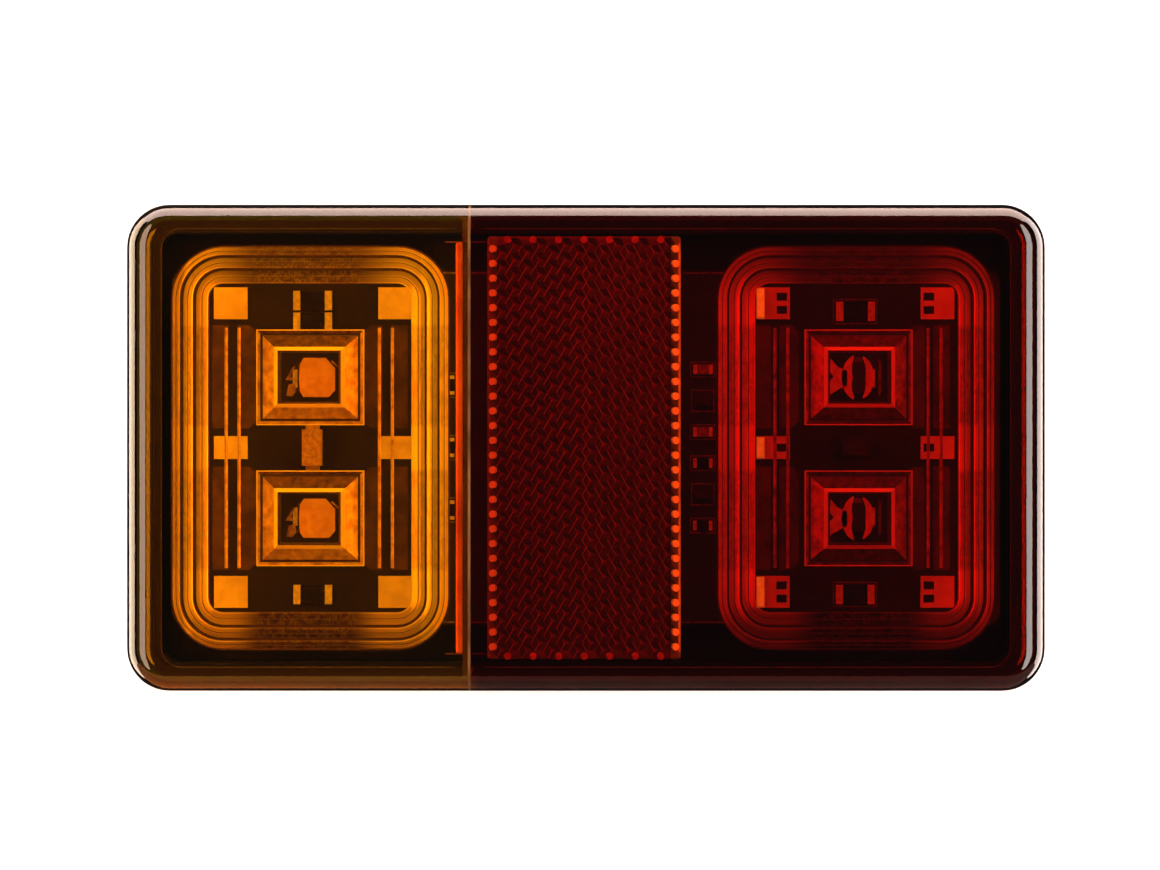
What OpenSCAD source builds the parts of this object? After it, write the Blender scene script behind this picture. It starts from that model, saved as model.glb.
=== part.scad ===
// Trailer tail light cluster: an indicator in amber beside a stop and tail light in red, with a
// reflex reflector block between them, on a black base with two mounting studs.
// The lens looks along -Y and +Z is up. The origin is the middle of the flat mounting face.
// Each piece is drawn face up, with the mounting face on the XY plane, and then turned upright.

/* [Lamp] */
// Overall width of the lamp
lamp_w = 150; // [140:1:190]
// Overall height of the lamp
lamp_h = 79.5; // [76:0.5:100]
// Depth from the mounting face to the front of the lens
lamp_d = 28; // [26:0.5:40]
// Radius of the four corners in the front view
corner_r = 7; // [6:0.5:12]

/* [Base] */
// Depth of the base behind the lens seam
base_d = 10; // [9:0.5:12]
// Side wall of the base
base_wall = 2.2; // [1.6:0.1:3]
// Floor of the base, which is the mounting wall
floor_t = 2.4; // [2:0.1:3.5]
// Height of the rim that carries the lens
rim_h = 2; // [1.2:0.1:3]
// Thickness of the tongue that stands inside the lens skirt
tongue_t = 1.2; // [0.8:0.1:2]
// Height of the tongue above the seam
tongue_h = 1.8; // [1:0.1:1.9]
// Chamfer round the back edge
back_chamfer = 0.8; // [0.3:0.1:1.5]
// Radius of the posts under the board
post_r = 3; // [2.6:0.1:4]
// Thickness of the stiffening ribs on the floor
rib_t = 1.4; // [1:0.1:2]
// Height of the stiffening ribs above the floor
rib_h = 3; // [1:0.5:4]

/* [Lens] */
// Wall of the lens
lens_wall = 2.4; // [2:0.1:3]
// Radius of the rounded edge round the front of the lens
edge_r = 5; // [3.5:0.25:5.5]
// Strip of plain amber between the amber optic and the seam of the two colours
joint_gap = 3.9; // [3:0.1:5]
// Width of the lap of red behind amber
lap_w = 2.3; // [1.6:0.1:2.8]
// Thickness of the divider rib between the chambers
divider_t = 1.1; // [0.8:0.1:1.4]
// Distance of the ends of the divider rib from the top and bottom of the lamp
divider_margin = 6.35; // [5.5:0.05:10]
// Depth of the divider rib behind the lens wall
divider_d = 9; // [4:0.5:10]
// Clearance between the lens and what stands inside it
fit_gap = 0.15; // [0.1:0.05:0.3]

/* [Stepped optics] */
// Distance of the amber optic from the amber end of the lamp
amber_margin = 6.8; // [6:0.1:8]
// Distance of the red optic from the red end of the lamp
red_margin = 7.4; // [6:0.1:9]
// Distance of both optics from the top and bottom of the lamp
optic_margin = 6.85; // [6:0.05:9]
// Width of the outermost step
optic_w = 45.4; // [43:0.1:46]
// Corner radius of the outermost step
optic_r = 8.6; // [7:0.1:10]
// Width of the first step
step_1 = 1.6; // [1.2:0.1:1.9]
// Width of the second step
step_2 = 2.1; // [1.6:0.1:2.4]
// Width of the third step
step_3 = 2.5; // [2:0.1:2.8]
// Depth of each step at its steep side
step_d = 1.3; // [0.6:0.1:1.8]
// Gap between the two light guides of a colour
guide_gap = 7.4; // [6:0.1:8]
// Width of a light guide frame
guide_w = 17.6; // [16:0.1:19]
// Height of a light guide frame
guide_h = 15.6; // [14:0.1:17]
// Border of a light guide frame outside its bevel
guide_border = 0.8; // [0.5:0.1:1.2]
// Width of the window in a light guide
window_w = 9.2; // [8:0.1:10]
// Height of the window in a light guide
window_h = 7.4; // [6:0.1:8.5]
// Depth of a light guide behind the lens wall
guide_d = 3.6; // [2:0.1:5]
// Depth of the bevel inside a light guide
bevel_d = 2.6; // [1:0.1:3.4]
// Distance of the inner flute from the middle of its optic
flute_in = 11.5; // [11:0.1:12]
// Distance of the outer flute from the middle of its optic
flute_out = 13.8; // [13:0.1:14.5]
// Radius of a flute
flute_r = 0.35; // [0.2:0.05:0.5]

/* [Reflex reflector] */
// Distance of the reflector block from the seam of the two colours
reflex_gap = 2.8; // [2:0.1:4]
// Distance of the reflector block from the red optic
reflex_red_gap = 6.7; // [5:0.1:8]
// Distance of the reflector block from the top and bottom of the lamp
reflex_margin = 5.25; // [5:0.05:8]
// Corner radius of the reflector block
reflex_r = 1.4; // [0.8:0.1:3]
// Distance across the flats of one hexagonal cell
cell_af = 2.4; // [2.2:0.1:4]
// Solid plate in front of the cells
reflex_plate = 1.2; // [0.8:0.1:2]

/* [Circuit board] */
// Distance of the ends of the board from the ends of the lamp
board_side = 6; // [4.5:0.5:8]
// Distance of the edges of the board from the top and bottom of the lamp
board_edge = 10.25; // [9:0.25:12]
// Thickness of the board
board_t = 1.6; // [1:0.1:2]
// Corner radius of the board
board_r = 2; // [1:0.5:4]
// Height of the back of the board above the lens seam
board_lift = 2; // [1.9:0.1:3]
// Distance of each board screw from the edge of the board
screw_edge = 7.5; // [5:0.5:9]
// Radius of the board screw shank
screw_r = 1.2; // [1:0.1:1.4]
// Length of the board screw under its head
screw_l = 8; // [6:0.5:9]
// Radius of the board screw head
screw_head_r = 2.5; // [2:0.1:3]
// Distance of the outer posts from the ends of the board
post_side = 9; // [5:0.5:12]
// Distance of the outer posts from the edges of the board
post_edge = 7.5; // [5:0.5:12]

/* [Light sources and components] */
// Side of the square body of a light source
led_side = 5; // [4:0.1:6]
// Thickness of the body of a light source
led_t = 1; // [0.8:0.1:1.5]
// Radius of the dome on a light source
dome_r = 1.9; // [1.5:0.1:2.3]
// Thickness of the tinned heat spreaders
spreader_t = 0.2; // [0.1:0.05:0.4]
// Width of a heat spreader
spreader_w = 5.6; // [4:0.1:6]
// Height of the upper and lower heat spreaders
spreader_h = 5.3; // [4:0.1:6]
// Height of the middle heat spreaders
spreader_mid_h = 3.8; // [3:0.1:5]
// Place of the chip resistors, as a share of the way from the light source to the board's edge
chip_share = 0.56; // [0.5:0.01:0.58]
// Pitch of the two amber chip resistors that lie one above the other
chip_pitch = 3.6; // [3.4:0.1:4]
// Length of the small surface-mounted parts
small_l = 3.2; // [2.8:0.1:3.6]
// Width of the small surface-mounted parts
small_w = 1.6; // [1.2:0.1:1.8]
// Pitch of the small parts in their column
small_pitch = 5.2; // [4.5:0.1:5.5]
// Length of the moulded diodes
diode_l = 4.2; // [3.6:0.1:4.6]
// Width of the moulded diodes
diode_w = 2.6; // [2.2:0.1:3]
// Thickness of the moulded diodes
diode_t = 2; // [1.6:0.1:2.4]
// Height of the moulded capacitor between the amber light sources
tantalum_l = 6; // [5:0.1:6.6]
// Width of the moulded capacitor between the amber light sources
tantalum_w = 3.2; // [2.8:0.1:4]
// Thickness of the moulded capacitor
tantalum_t = 2.5; // [1.8:0.1:2.6]
// Pitch of the solder terminals of the cable
terminal_pitch = 6; // [4:0.5:8]
// Radius of the solder terminals of the cable
terminal_r = 1.6; // [1.2:0.1:1.9]
// Length of the large chip resistors
chip_l = 6.4; // [5:0.1:7]
// Width of the large chip resistors
chip_w = 3.2; // [2.4:0.1:3.6]
// Thickness of the large chip resistors
chip_t = 0.7; // [0.5:0.05:1]

/* [Mounting] */
// Distance between the two mounting studs
stud_pitch = 45; // [40:1:60]
// Radius of the mounting studs
stud_r = 2.5; // [2:0.5:3]
// Length of the threaded part of a stud, from the head
stud_l = 25; // [16:1:40]
// How far the collar in the base stands out from a stud
stud_collar = 0.4; // [0.3:0.05:0.8]
// Chamfer on the tip of a stud
stud_tip = 0.8; // [0.4:0.1:1.2]
// Distance across the flats of the stud head
head_af = 8; // [7:0.5:10]
// Thickness of the stud head
head_t = 3.5; // [2.5:0.1:4]
// Radius of the bore for the cable
cable_r = 2.9; // [2:0.1:3.5]
// Wall of the cable grommet round its bore
grommet_wall = 1.3; // [1:0.1:2]
// Width of the flanges of the cable grommet
grommet_flange = 1.5; // [1:0.1:2]
// Thickness of the flanges of the cable grommet
flange_t = 1.4; // [1:0.1:1.6]
// Depth of the recess round the outer flange
recess_d = 1.7; // [1.6:0.1:2]
// Height of the cable boss above the mounting face
boss_z = 5; // [4:0.1:6]

/* [Hidden] */
$fn = 48;

// Depths along the lamp
lens_back = base_d;
lens_in = lamp_d - lens_wall;
board_z = base_d + board_lift;
// Places across the lamp, from its middle
amber_x = -lamp_w / 2 + amber_margin + optic_w / 2;
red_x = lamp_w / 2 - red_margin - optic_w / 2;
joint_x = amber_x + optic_w / 2 + joint_gap;
reflex_left = joint_x + reflex_gap;
reflex_right = red_x - optic_w / 2 - reflex_red_gap;
reflex_w = reflex_right - reflex_left;
reflex_x = (reflex_left + reflex_right) / 2;
// Heights of the optics, the reflector and the divider
optic_h = lamp_h - 2 * optic_margin;
reflex_h = lamp_h - 2 * reflex_margin;
divider_h = lamp_h - 2 * divider_margin;
guide_z = (guide_h + guide_gap) / 2;
// The board and what it stands on
board_w = lamp_w - 2 * board_side;
board_h = lamp_h - 2 * board_edge;
screw_z = board_h / 2 - screw_edge;
post_x = board_w / 2 - post_side;
post_z = board_h / 2 - post_edge;
board_front = board_z + board_t;
// How far a moulded rib runs into the wall that it grows from
root = 0.3;
// The inner outline of the lens skirt, and of the tongue inside it
skirt_w = lamp_w - 2 * lens_wall;
skirt_h = lamp_h - 2 * lens_wall;
tongue_w = skirt_w - 2 * fit_gap;
tongue_hh = skirt_h - 2 * fit_gap;
tongue_r = corner_r - lens_wall - fit_gap;
rim_t = lens_wall + fit_gap + tongue_t;
// The lap of the two colours is half the lens wall
lap_t = lens_wall / 2;
// The field inside the steps
field_inset = step_1 + step_2 + step_3;
// The hexagonal cells: the side of their triangular lattice, its rows, and the rise of one step
cell_s = cell_af / sqrt(3);
row_p = cell_af / 2;
rise = cell_s / sqrt(2);
reflex_back = lens_in - reflex_plate - 2 * rise;
// The field inside the steps, and what stands at its ends
field_w = optic_w - 2 * field_inset;
field_h = optic_h - 2 * field_inset;
spreader_x = (field_w - spreader_w) / 2;
spreader_rows = [
    [(field_h - spreader_h) / 2, spreader_h],
    [0, spreader_mid_h],
    [-(field_h - spreader_h) / 2, spreader_h]
];
// The chip resistors lie round the middle of their place between the light source and the edge
source_end = guide_z + led_side / 2;
chip_mid = source_end + chip_share * (board_h / 2 - source_end);
// The column of small parts beside the reflector, and the short one behind the amber edge
column_gap = 2.4;
column_x = reflex_right + column_gap + small_l / 2;
amber_column_gap = 3;
amber_column_x = joint_x - amber_column_gap - small_w / 2;
// Clearance round a screw or stud in its hole
hole_gap = 0.1;
grommet_r = cable_r + grommet_wall;
grommet_flange_r = grommet_r + grommet_flange;
boss_r = grommet_flange_r + 2.2;
stud_boss_r = head_af / 2 / cos(30) + 2;

// Turns a piece that is drawn face up into its upright place
module upright() {
    rotate([90, 0, 0]) children();
}

// Sweeps a section round a rectangle with round corners. The section's x is measured outwards
// from the middle of the corner arc, and its y is the height above the mounting face
module rim(w, h, r) {
    for (q = [0:3])
        translate([(q == 0 || q == 3 ? 1 : -1) * (w / 2 - r), (q < 2 ? 1 : -1) * (h / 2 - r), 0])
            rotate([0, 0, 90 * q])
                rotate_extrude(angle = 90)
                    children();
    for (s = [0, 180])
        rotate([0, 0, s]) {
            translate([w / 2 - r, 0, 0])
                rotate([90, 0, 0])
                    linear_extrude(height = h - 2 * r, center = true)
                        children();
            translate([0, h / 2 - r, 0])
                rotate([90, 0, 90])
                    linear_extrude(height = w - 2 * r, center = true)
                        children();
        }
}

// Half of a section with a rounded upper corner of radius e and a chamfer c at the foot
module edge_section(r, z0, z1, e, c) {
    intersection() {
        translate([0, z0])
            square([r, z1 - z0]);
        union() {
            translate([0, z0 + c])
                square([r, z1 - e - z0 - c]);
            if (e > 0) {
                translate([0, z1 - e])
                    square([r - e, e]);
                translate([r - e, z1 - e])
                    circle(r = e);
            }
            if (c > 0)
                polygon([[0, z0], [r - c, z0], [r, z0 + c], [0, z0 + c]]);
        }
    }
}

// A slab with round corners, from z0 to z1, with a rounded front edge e and a chamfered back c
module slab(w, h, r, z0, z1, e = 0, c = 0) {
    translate([-w / 2 + r, -h / 2 + r, z0])
        cube([w - 2 * r, h - 2 * r, z1 - z0]);
    rim(w, h, r)
        edge_section(r, z0, z1, e, c);
}

// The whole lens shell before it is parted into colours. The inset t thins it from outside
module lens_block(t, z0) {
    slab(lamp_w - 2 * t, lamp_h - 2 * t, corner_r - t, z0, lamp_d - t, edge_r - t);
}

module lens_shell() {
    difference() {
        lens_block(0, lens_back);
        lens_block(lens_wall, lens_back - 1);
    }
}

// One sawtooth step of the optic, inset from its outer edge and as wide as given
module optic_step(inset, wide) {
    r = optic_r - inset;
    rim(optic_w - 2 * inset, optic_h - 2 * inset, r)
        polygon([
            [r, lens_in + root], [r, lens_in - step_d], [r - wide, lens_in - 0.1],
            [r - wide, lens_in + root]
        ]);
}

// One light guide: a frame on the lens wall with a bevelled well down to its window
module light_guide() {
    difference() {
        translate([0, 0, lens_in - (guide_d - root) / 2])
            cube([guide_w, guide_h, guide_d + root], center = true);
        translate([0, 0, lens_in - guide_d - 0.01])
            linear_extrude(
                height = bevel_d,
                slices = 1,
                scale = [window_w / (guide_w - 2 * guide_border), window_h / (guide_h - 2 * guide_border)]
            )
                square([guide_w - 2 * guide_border, guide_h - 2 * guide_border], center = true);
    }
}

// What is moulded on the inside of the lens in front of two light sources
module stepped_optic() {
    optic_step(0, step_1);
    optic_step(step_1, step_2);
    optic_step(step_1 + step_2, step_3);
    for (s = [-1, 1]) {
        translate([0, s * guide_z, 0])
            light_guide();
        for (x = [flute_in, flute_out])
            translate([s * x, 0, lens_in])
                rotate([90, 0, 0])
                    cylinder(r = flute_r, h = field_h, center = true, $fn = 16);
    }
}

module amber_lens() {
    color("orange") upright() {
        difference() {
            lens_shell();
            translate([joint_x, -lamp_h, 0])
                cube([lamp_w, 2 * lamp_h, 2 * lamp_d]);
            intersection() {
                lens_block(lap_t, 0);
                translate([joint_x - lap_w, -lamp_h, 0])
                    cube([lap_w + 1, 2 * lamp_h, 2 * lamp_d]);
            }
        }
        translate([amber_x, 0, 0])
            stepped_optic();
    }
}

module red_lens() {
    color("firebrick") upright() {
        intersection() {
            lens_shell();
            translate([joint_x, -lamp_h, 0])
                cube([lamp_w, 2 * lamp_h, 2 * lamp_d]);
        }
        intersection() {
            difference() {
                lens_block(lap_t, lens_back);
                lens_block(lens_wall, lens_back - 1);
            }
            translate([joint_x - lap_w, -lamp_h, 0])
                cube([lap_w + 0.01, 2 * lamp_h, 2 * lamp_d]);
        }
        translate([joint_x - lap_w, -divider_h / 2, lens_in - divider_d])
            cube([divider_t, divider_h, divider_d + root]);
        translate([red_x, 0, 0])
            stepped_optic();
    }
}

// Points of the cell lattice: column i and row j, at one of three heights
function lattice_point(i, j) = [
    (i + (j % 2) / 2) * cell_s,
    j * row_p,
    ((i - floor(j / 2) - j + 300) % 3) * rise
];

// A sheet of corner cubes, n columns by m rows of lattice points, flat on top at height t
module corner_cubes(n, m, t) {
    low = [for (j = [0:m - 1]) for (i = [0:n - 1]) lattice_point(i, j)];
    ring = concat(
        [for (i = [0:n - 1]) i],
        [for (j = [1:m - 1]) j * n + n - 1],
        [for (i = [n - 2:-1:0]) (m - 1) * n + i],
        [for (j = [m - 2:-1:1]) j * n]
    );
    k = len(ring);
    wide = (n - 0.5) * cell_s;
    top = [
        for (v = ring)
            [v % n == 0 ? 0 : v % n == n - 1 ? wide : low[v][0], low[v][1], t]
    ];
    middle = [wide / 2, (m - 1) * row_p / 2, t];
    sheet = [
        for (j = [0:m - 2]) for (i = [0:n - 2])
            for (f = (j % 2 == 0)
                ? [[0, 1, n], [1, n + 1, n]]
                : [[0, n + 1, n], [0, 1, n + 1]])
                [for (d = f) j * n + i + d]
    ];
    sides = [
        for (a = [0:k - 1])
            let (b = (a + 1) % k, up = n * m)
                each [[ring[a], up + a, up + b], [ring[a], up + b, ring[b]], [up + k, up + b, up + a]]
    ];
    polyhedron(points = concat(low, top, [middle]), faces = concat(sheet, sides));
}

module reflex_reflector() {
    n = ceil(reflex_w / cell_s) + 2;
    m = 2 * ceil(reflex_h / row_p / 2) + 3;
    color("darkred") upright()
        translate([reflex_x, 0, 0])
            intersection() {
                slab(reflex_w, reflex_h, reflex_r, reflex_back - 1, lens_in);
                translate([-(n - 0.5) * cell_s / 2, -(m - 1) * row_p / 2, reflex_back])
                    corner_cubes(n, m, lens_in - reflex_back);
            }
}

// A pillar of the base from its floor
module post(x, y, r, top) {
    translate([x, y, floor_t - root])
        cylinder(r = r, h = top - floor_t + root);
}

module base_housing() {
    in_w = lamp_w - 2 * base_wall;
    in_h = lamp_h - 2 * base_wall;
    rim_w = lamp_w - 2 * rim_t;
    rim_hh = lamp_h - 2 * rim_t;
    color("#202020") upright() difference() {
        union() {
            difference() {
                slab(lamp_w, lamp_h, corner_r, 0, base_d, 0, back_chamfer);
                slab(in_w, in_h, corner_r - base_wall, floor_t, base_d - rim_h);
                slab(rim_w, rim_hh, corner_r - rim_t, base_d - rim_h - 1, base_d + 1);
            }
            difference() {
                slab(tongue_w, tongue_hh, tongue_r, base_d - root, base_d + tongue_h);
                slab(rim_w, rim_hh, corner_r - rim_t, base_d - 1, base_d + tongue_h + 1);
            }
            for (s = [-1, 1]) {
                post(0, s * screw_z, post_r, board_z);
                post(s * stud_pitch / 2, 0, stud_boss_r, floor_t + head_t);
                for (t = [-1, 1])
                    post(s * post_x, t * post_z, post_r, board_z);
            }
            post(0, 0, boss_r, boss_z);
            for (s = [-1, 1])
                translate([0, s * post_z, floor_t + rib_h / 2 - root / 2])
                    cube([2 * post_x, rib_t, rib_h + root], center = true);
        }
        for (s = [-1, 1]) {
            translate([0, s * screw_z, floor_t + 1])
                cylinder(r = screw_r + hole_gap, h = board_z);
            translate([s * stud_pitch / 2, 0, -1])
                cylinder(r = stud_r + stud_collar + hole_gap, h = base_d);
            translate([s * stud_pitch / 2, 0, floor_t])
                cylinder(r = (head_af / 2 + hole_gap) / cos(30), h = base_d, $fn = 6);
        }
        translate([0, 0, -1])
            cylinder(r = grommet_r + hole_gap, h = boss_z + 2);
        translate([0, 0, -1])
            cylinder(r = grommet_flange_r + 0.3, h = recess_d + 1);
    }
}

module circuit_board() {
    color("#151515") upright() difference() {
        slab(board_w, board_h, board_r, board_z, board_front);
        for (s = [-1, 1])
            translate([0, s * screw_z, 0])
                cylinder(r = screw_r + hole_gap, h = lamp_d);
    }
}

// A light source: a square body with a clear dome, and a solder tab on each side
module led(x, y, tint) {
    color(tint) upright()
        translate([x, y, board_front]) {
            translate([-led_side / 2, -led_side / 2, 0])
                cube([led_side, led_side, led_t]);
            for (s = [-1, 1])
                translate([s * led_side / 2, 0, led_t / 4])
                    cube([1.6, led_side * 0.6, led_t / 2], center = true);
            translate([0, 0, led_t - root])
                cylinder(r = dome_r, h = 0.5 + root);
            translate([0, 0, led_t + 0.5])
                intersection() {
                    sphere(r = dome_r);
                    translate([0, 0, dome_r])
                        cube(2 * dome_r, center = true);
                }
        }
}

module led_amber_upper() {
    led(amber_x, guide_z, "gold");
}

module led_amber_lower() {
    led(amber_x, -guide_z, "gold");
}

module led_red_upper() {
    led(red_x, guide_z, "tomato");
}

module led_red_lower() {
    led(red_x, -guide_z, "tomato");
}

// The tinned copper areas beside the light sources
module heat_spreaders(x) {
    color("silver") upright()
        for (s = [-1, 1])
            for (row = spreader_rows)
                translate([x + s * spreader_x, row[0], board_front + spreader_t / 2])
                    cube([spreader_w, row[1], spreader_t], center = true);
}

module heat_spreaders_amber() {
    heat_spreaders(amber_x);
}

module heat_spreaders_red() {
    heat_spreaders(red_x);
}

// A chip with metal ends, lying on the board with its length along X
module chip(l, w, t) {
    cap = l * 0.18;
    translate([-l / 2, -w / 2, 0])
        cube([l, w, t]);
    for (s = [-1, 1])
        translate([s * (l / 2 - cap / 2), 0, t / 2 + 0.03])
            cube([cap, w, t + 0.06], center = true);
}

// Large chips at one place across the lamp and at the given heights
module large_chips(x, heights) {
    color("dimgray") upright()
        for (y = heights)
            translate([x, y, board_front])
                chip(chip_l, chip_w, chip_t);
}

module resistors_amber() {
    large_chips(amber_x, [chip_mid + chip_pitch / 2, chip_mid - chip_pitch / 2, -chip_mid - chip_pitch / 2]);
}

module resistors_red() {
    large_chips(red_x, [chip_mid, -chip_mid - chip_pitch / 2]);
}

// A moulded diode with two folded tabs
module diode(x, y) {
    color("#303030") upright()
        translate([x, y, board_front]) {
            translate([-diode_l / 2, -diode_w / 2, 0])
                cube([diode_l, diode_w, diode_t]);
            translate([0, 0, diode_t / 4])
                cube([diode_l * 4 / 3, diode_w / 2, diode_t / 2], center = true);
        }
}

module centre_diode() {
    diode(red_x, 0);
}

// A moulded capacitor that stands upright between the amber light sources, with two folded tabs
module centre_capacitor() {
    tab_w = tantalum_w * 0.7;
    tab_l = tantalum_l * 0.12;
    color("orange") upright()
        translate([amber_x, 0, board_front]) {
            translate([-tantalum_w / 2, -tantalum_l / 2, 0])
                cube([tantalum_w, tantalum_l, tantalum_t]);
            for (s = [-1, 1])
                translate([0, s * tantalum_l / 2, tantalum_t / 4])
                    cube([tab_w, 2 * tab_l, tantalum_t / 2], center = true);
        }
}

// A small transistor with one leg above and two below, sized by the small parts
module transistor() {
    l = small_l * 0.9;
    w = small_w * 0.8;
    translate([-l / 2, -w / 2, 0])
        cube([l, w, w * 0.85]);
    for (leg = [[0, 1], [-l / 3, -1], [l / 3, -1]])
        translate([leg[0], leg[1] * w * 0.7, w / 5])
            cube([l / 6, w * 0.7, w * 0.4], center = true);
}

// A place in the column of small parts, counted in pitches from the middle
module in_column(n) {
    translate([column_x, n * small_pitch, board_front])
        children();
}

module transistors() {
    color("#252525") upright()
        for (n = [1.5, -1.5])
            in_column(n)
                transistor();
}

module capacitors() {
    color("tan") upright()
        for (n = [2.5, 0.5])
            in_column(n)
                chip(small_l, small_w, small_w * 0.75);
}

module small_resistors() {
    color("dimgray") upright() {
        for (n = [-0.5, -2.5])
            in_column(n)
                chip(small_l, small_w, small_w * 0.4);
        for (n = [-1, 0, 1])
            translate([amber_column_x, n * 2 * small_pitch, board_front])
                rotate([0, 0, 90])
                    chip(small_l, small_w, small_w * 0.4);
    }
}

module reverse_diode() {
    diode(reflex_x, screw_z / 2);
}

module wire_terminals() {
    color("silver") upright()
        for (n = [-1, 0, 1])
            translate([reflex_x + n * terminal_pitch, -screw_z / 2, board_front])
                cylinder(r = terminal_r, h = terminal_r / 2);
}

module board_screws() {
    color("silver") upright()
        for (s = [-1, 1])
            translate([0, s * screw_z, 0]) {
                translate([0, 0, board_front - screw_l])
                    cylinder(r = screw_r, h = screw_l);
                translate([0, 0, board_front])
                    cylinder(r1 = screw_head_r, r2 = screw_head_r * 0.8, h = screw_head_r * 0.7);
            }
}

module mounting_studs() {
    color("silver") upright()
        for (s = [-1, 1])
            translate([s * stud_pitch / 2, 0, floor_t]) {
                cylinder(r = head_af / 2 / cos(30), h = head_t, $fn = 6);
                translate([0, 0, -floor_t])
                    cylinder(r = stud_r + stud_collar, h = floor_t);
                translate([0, 0, stud_tip - stud_l])
                    cylinder(r = stud_r, h = stud_l - stud_tip - floor_t);
                translate([0, 0, -stud_l])
                    cylinder(r1 = stud_r - stud_tip, r2 = stud_r, h = stud_tip);
            }
}

module cable_grommet() {
    color("#2a2a2a") upright() difference() {
        union() {
            translate([0, 0, recess_d - flange_t])
                cylinder(r = grommet_flange_r, h = flange_t);
            translate([0, 0, recess_d - flange_t])
                cylinder(r = grommet_r, h = boss_z - recess_d + 2 * flange_t);
            translate([0, 0, boss_z])
                cylinder(r = grommet_flange_r, h = flange_t);
        }
        translate([0, 0, -1])
            cylinder(r = cable_r, h = base_d);
    }
}

base_housing();
amber_lens();
red_lens();
reflex_reflector();
circuit_board();
led_amber_upper();
led_amber_lower();
led_red_upper();
led_red_lower();
heat_spreaders_amber();
heat_spreaders_red();
resistors_amber();
resistors_red();
centre_capacitor();
centre_diode();
transistors();
capacitors();
small_resistors();
reverse_diode();
wire_terminals();
board_screws();
mounting_studs();
cable_grommet();
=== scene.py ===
import math

import bmesh
import bpy
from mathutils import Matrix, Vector


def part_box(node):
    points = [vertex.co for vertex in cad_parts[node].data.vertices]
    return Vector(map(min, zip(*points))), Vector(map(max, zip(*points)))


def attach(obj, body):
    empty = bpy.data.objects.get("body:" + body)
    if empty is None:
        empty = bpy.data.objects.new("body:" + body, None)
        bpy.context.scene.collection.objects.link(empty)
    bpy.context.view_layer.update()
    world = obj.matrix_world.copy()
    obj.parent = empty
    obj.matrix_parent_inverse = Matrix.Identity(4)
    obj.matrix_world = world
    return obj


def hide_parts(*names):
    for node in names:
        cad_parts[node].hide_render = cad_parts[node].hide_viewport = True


bl_info = {
    "name": "Trailer Tail Light",
    "version": (1, 0, 0),
    "blender": (4, 5, 0),
    "location": "View3D > Sidebar > Tail Light",
    "description": "Dresses the tail light: lens, stepped optics, reflector, board and hardware",
    "category": "Object",
}

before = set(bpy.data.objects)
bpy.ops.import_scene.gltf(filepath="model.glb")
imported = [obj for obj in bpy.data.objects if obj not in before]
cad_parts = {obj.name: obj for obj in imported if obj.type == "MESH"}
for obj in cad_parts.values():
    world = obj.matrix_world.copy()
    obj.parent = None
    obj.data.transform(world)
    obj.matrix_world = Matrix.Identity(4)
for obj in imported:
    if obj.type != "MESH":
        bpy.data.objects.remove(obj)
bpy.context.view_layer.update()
MM = 0.001

# Places read from the frame, in millimetres. Depth is counted forwards from the mounting face.


def span(node, axis):
    """Low and high end of a node along an axis."""
    low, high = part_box(node)
    return low[axis] / MM, high[axis] / MM


LAMP_W = 2 * span("base_housing", 0)[1]
LAMP_H = 2 * span("base_housing", 2)[1]
LENS_FRONT = -span("amber_lens", 1)[0]
LENS_BACK = -span("amber_lens", 1)[1]
BOARD_FRONT = -span("circuit_board", 1)[0]
SEAM_X = span("amber_lens", 0)[1]
LAP_X = span("red_lens", 0)[0]
AMBER_X = sum(span("led_amber_upper", 0)) / 2
RED_X = sum(span("led_red_upper", 0)) / 2
GUIDE_Z = sum(span("led_red_upper", 2)) / 2
REFLEX_LEFT, REFLEX_RIGHT = span("reflex_reflector", 0)
REFLEX_X = (REFLEX_LEFT + REFLEX_RIGHT) / 2
REFLEX_W = REFLEX_RIGHT - REFLEX_LEFT
REFLEX_H = 2 * span("reflex_reflector", 2)[1]
REFLEX_BACK = -span("reflex_reflector", 1)[1]

OPTICS = (("amber", AMBER_X), ("red", RED_X))
# Widths of the steps from the outmost in, of the groove at the foot of each, and of their crests
STEPS = (1.6, 2.1, 2.5)
GROOVES = (0.28, 0.42, 0.42)
CREST = 0.2
# Shift of each part of an optic to the right of its sources, as they show through the lens
SHIFTS = {"amber": {"steps": 0.65, "guides": 0.5, "flutes": 1.25, "view": 1.6},
          "red": {"steps": -0.9, "guides": -0.4, "flutes": 0.0, "view": -0.5}}
# Gap that keeps pieces apart behind the lens wall, and distance of the middles of the border
# prisms from the reflector's sides
GAP = 0.05
TIP_INSET = 0.95
# Thickness of ink, and width of a printed line
INK, LINE = 0.02, 0.18


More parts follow.
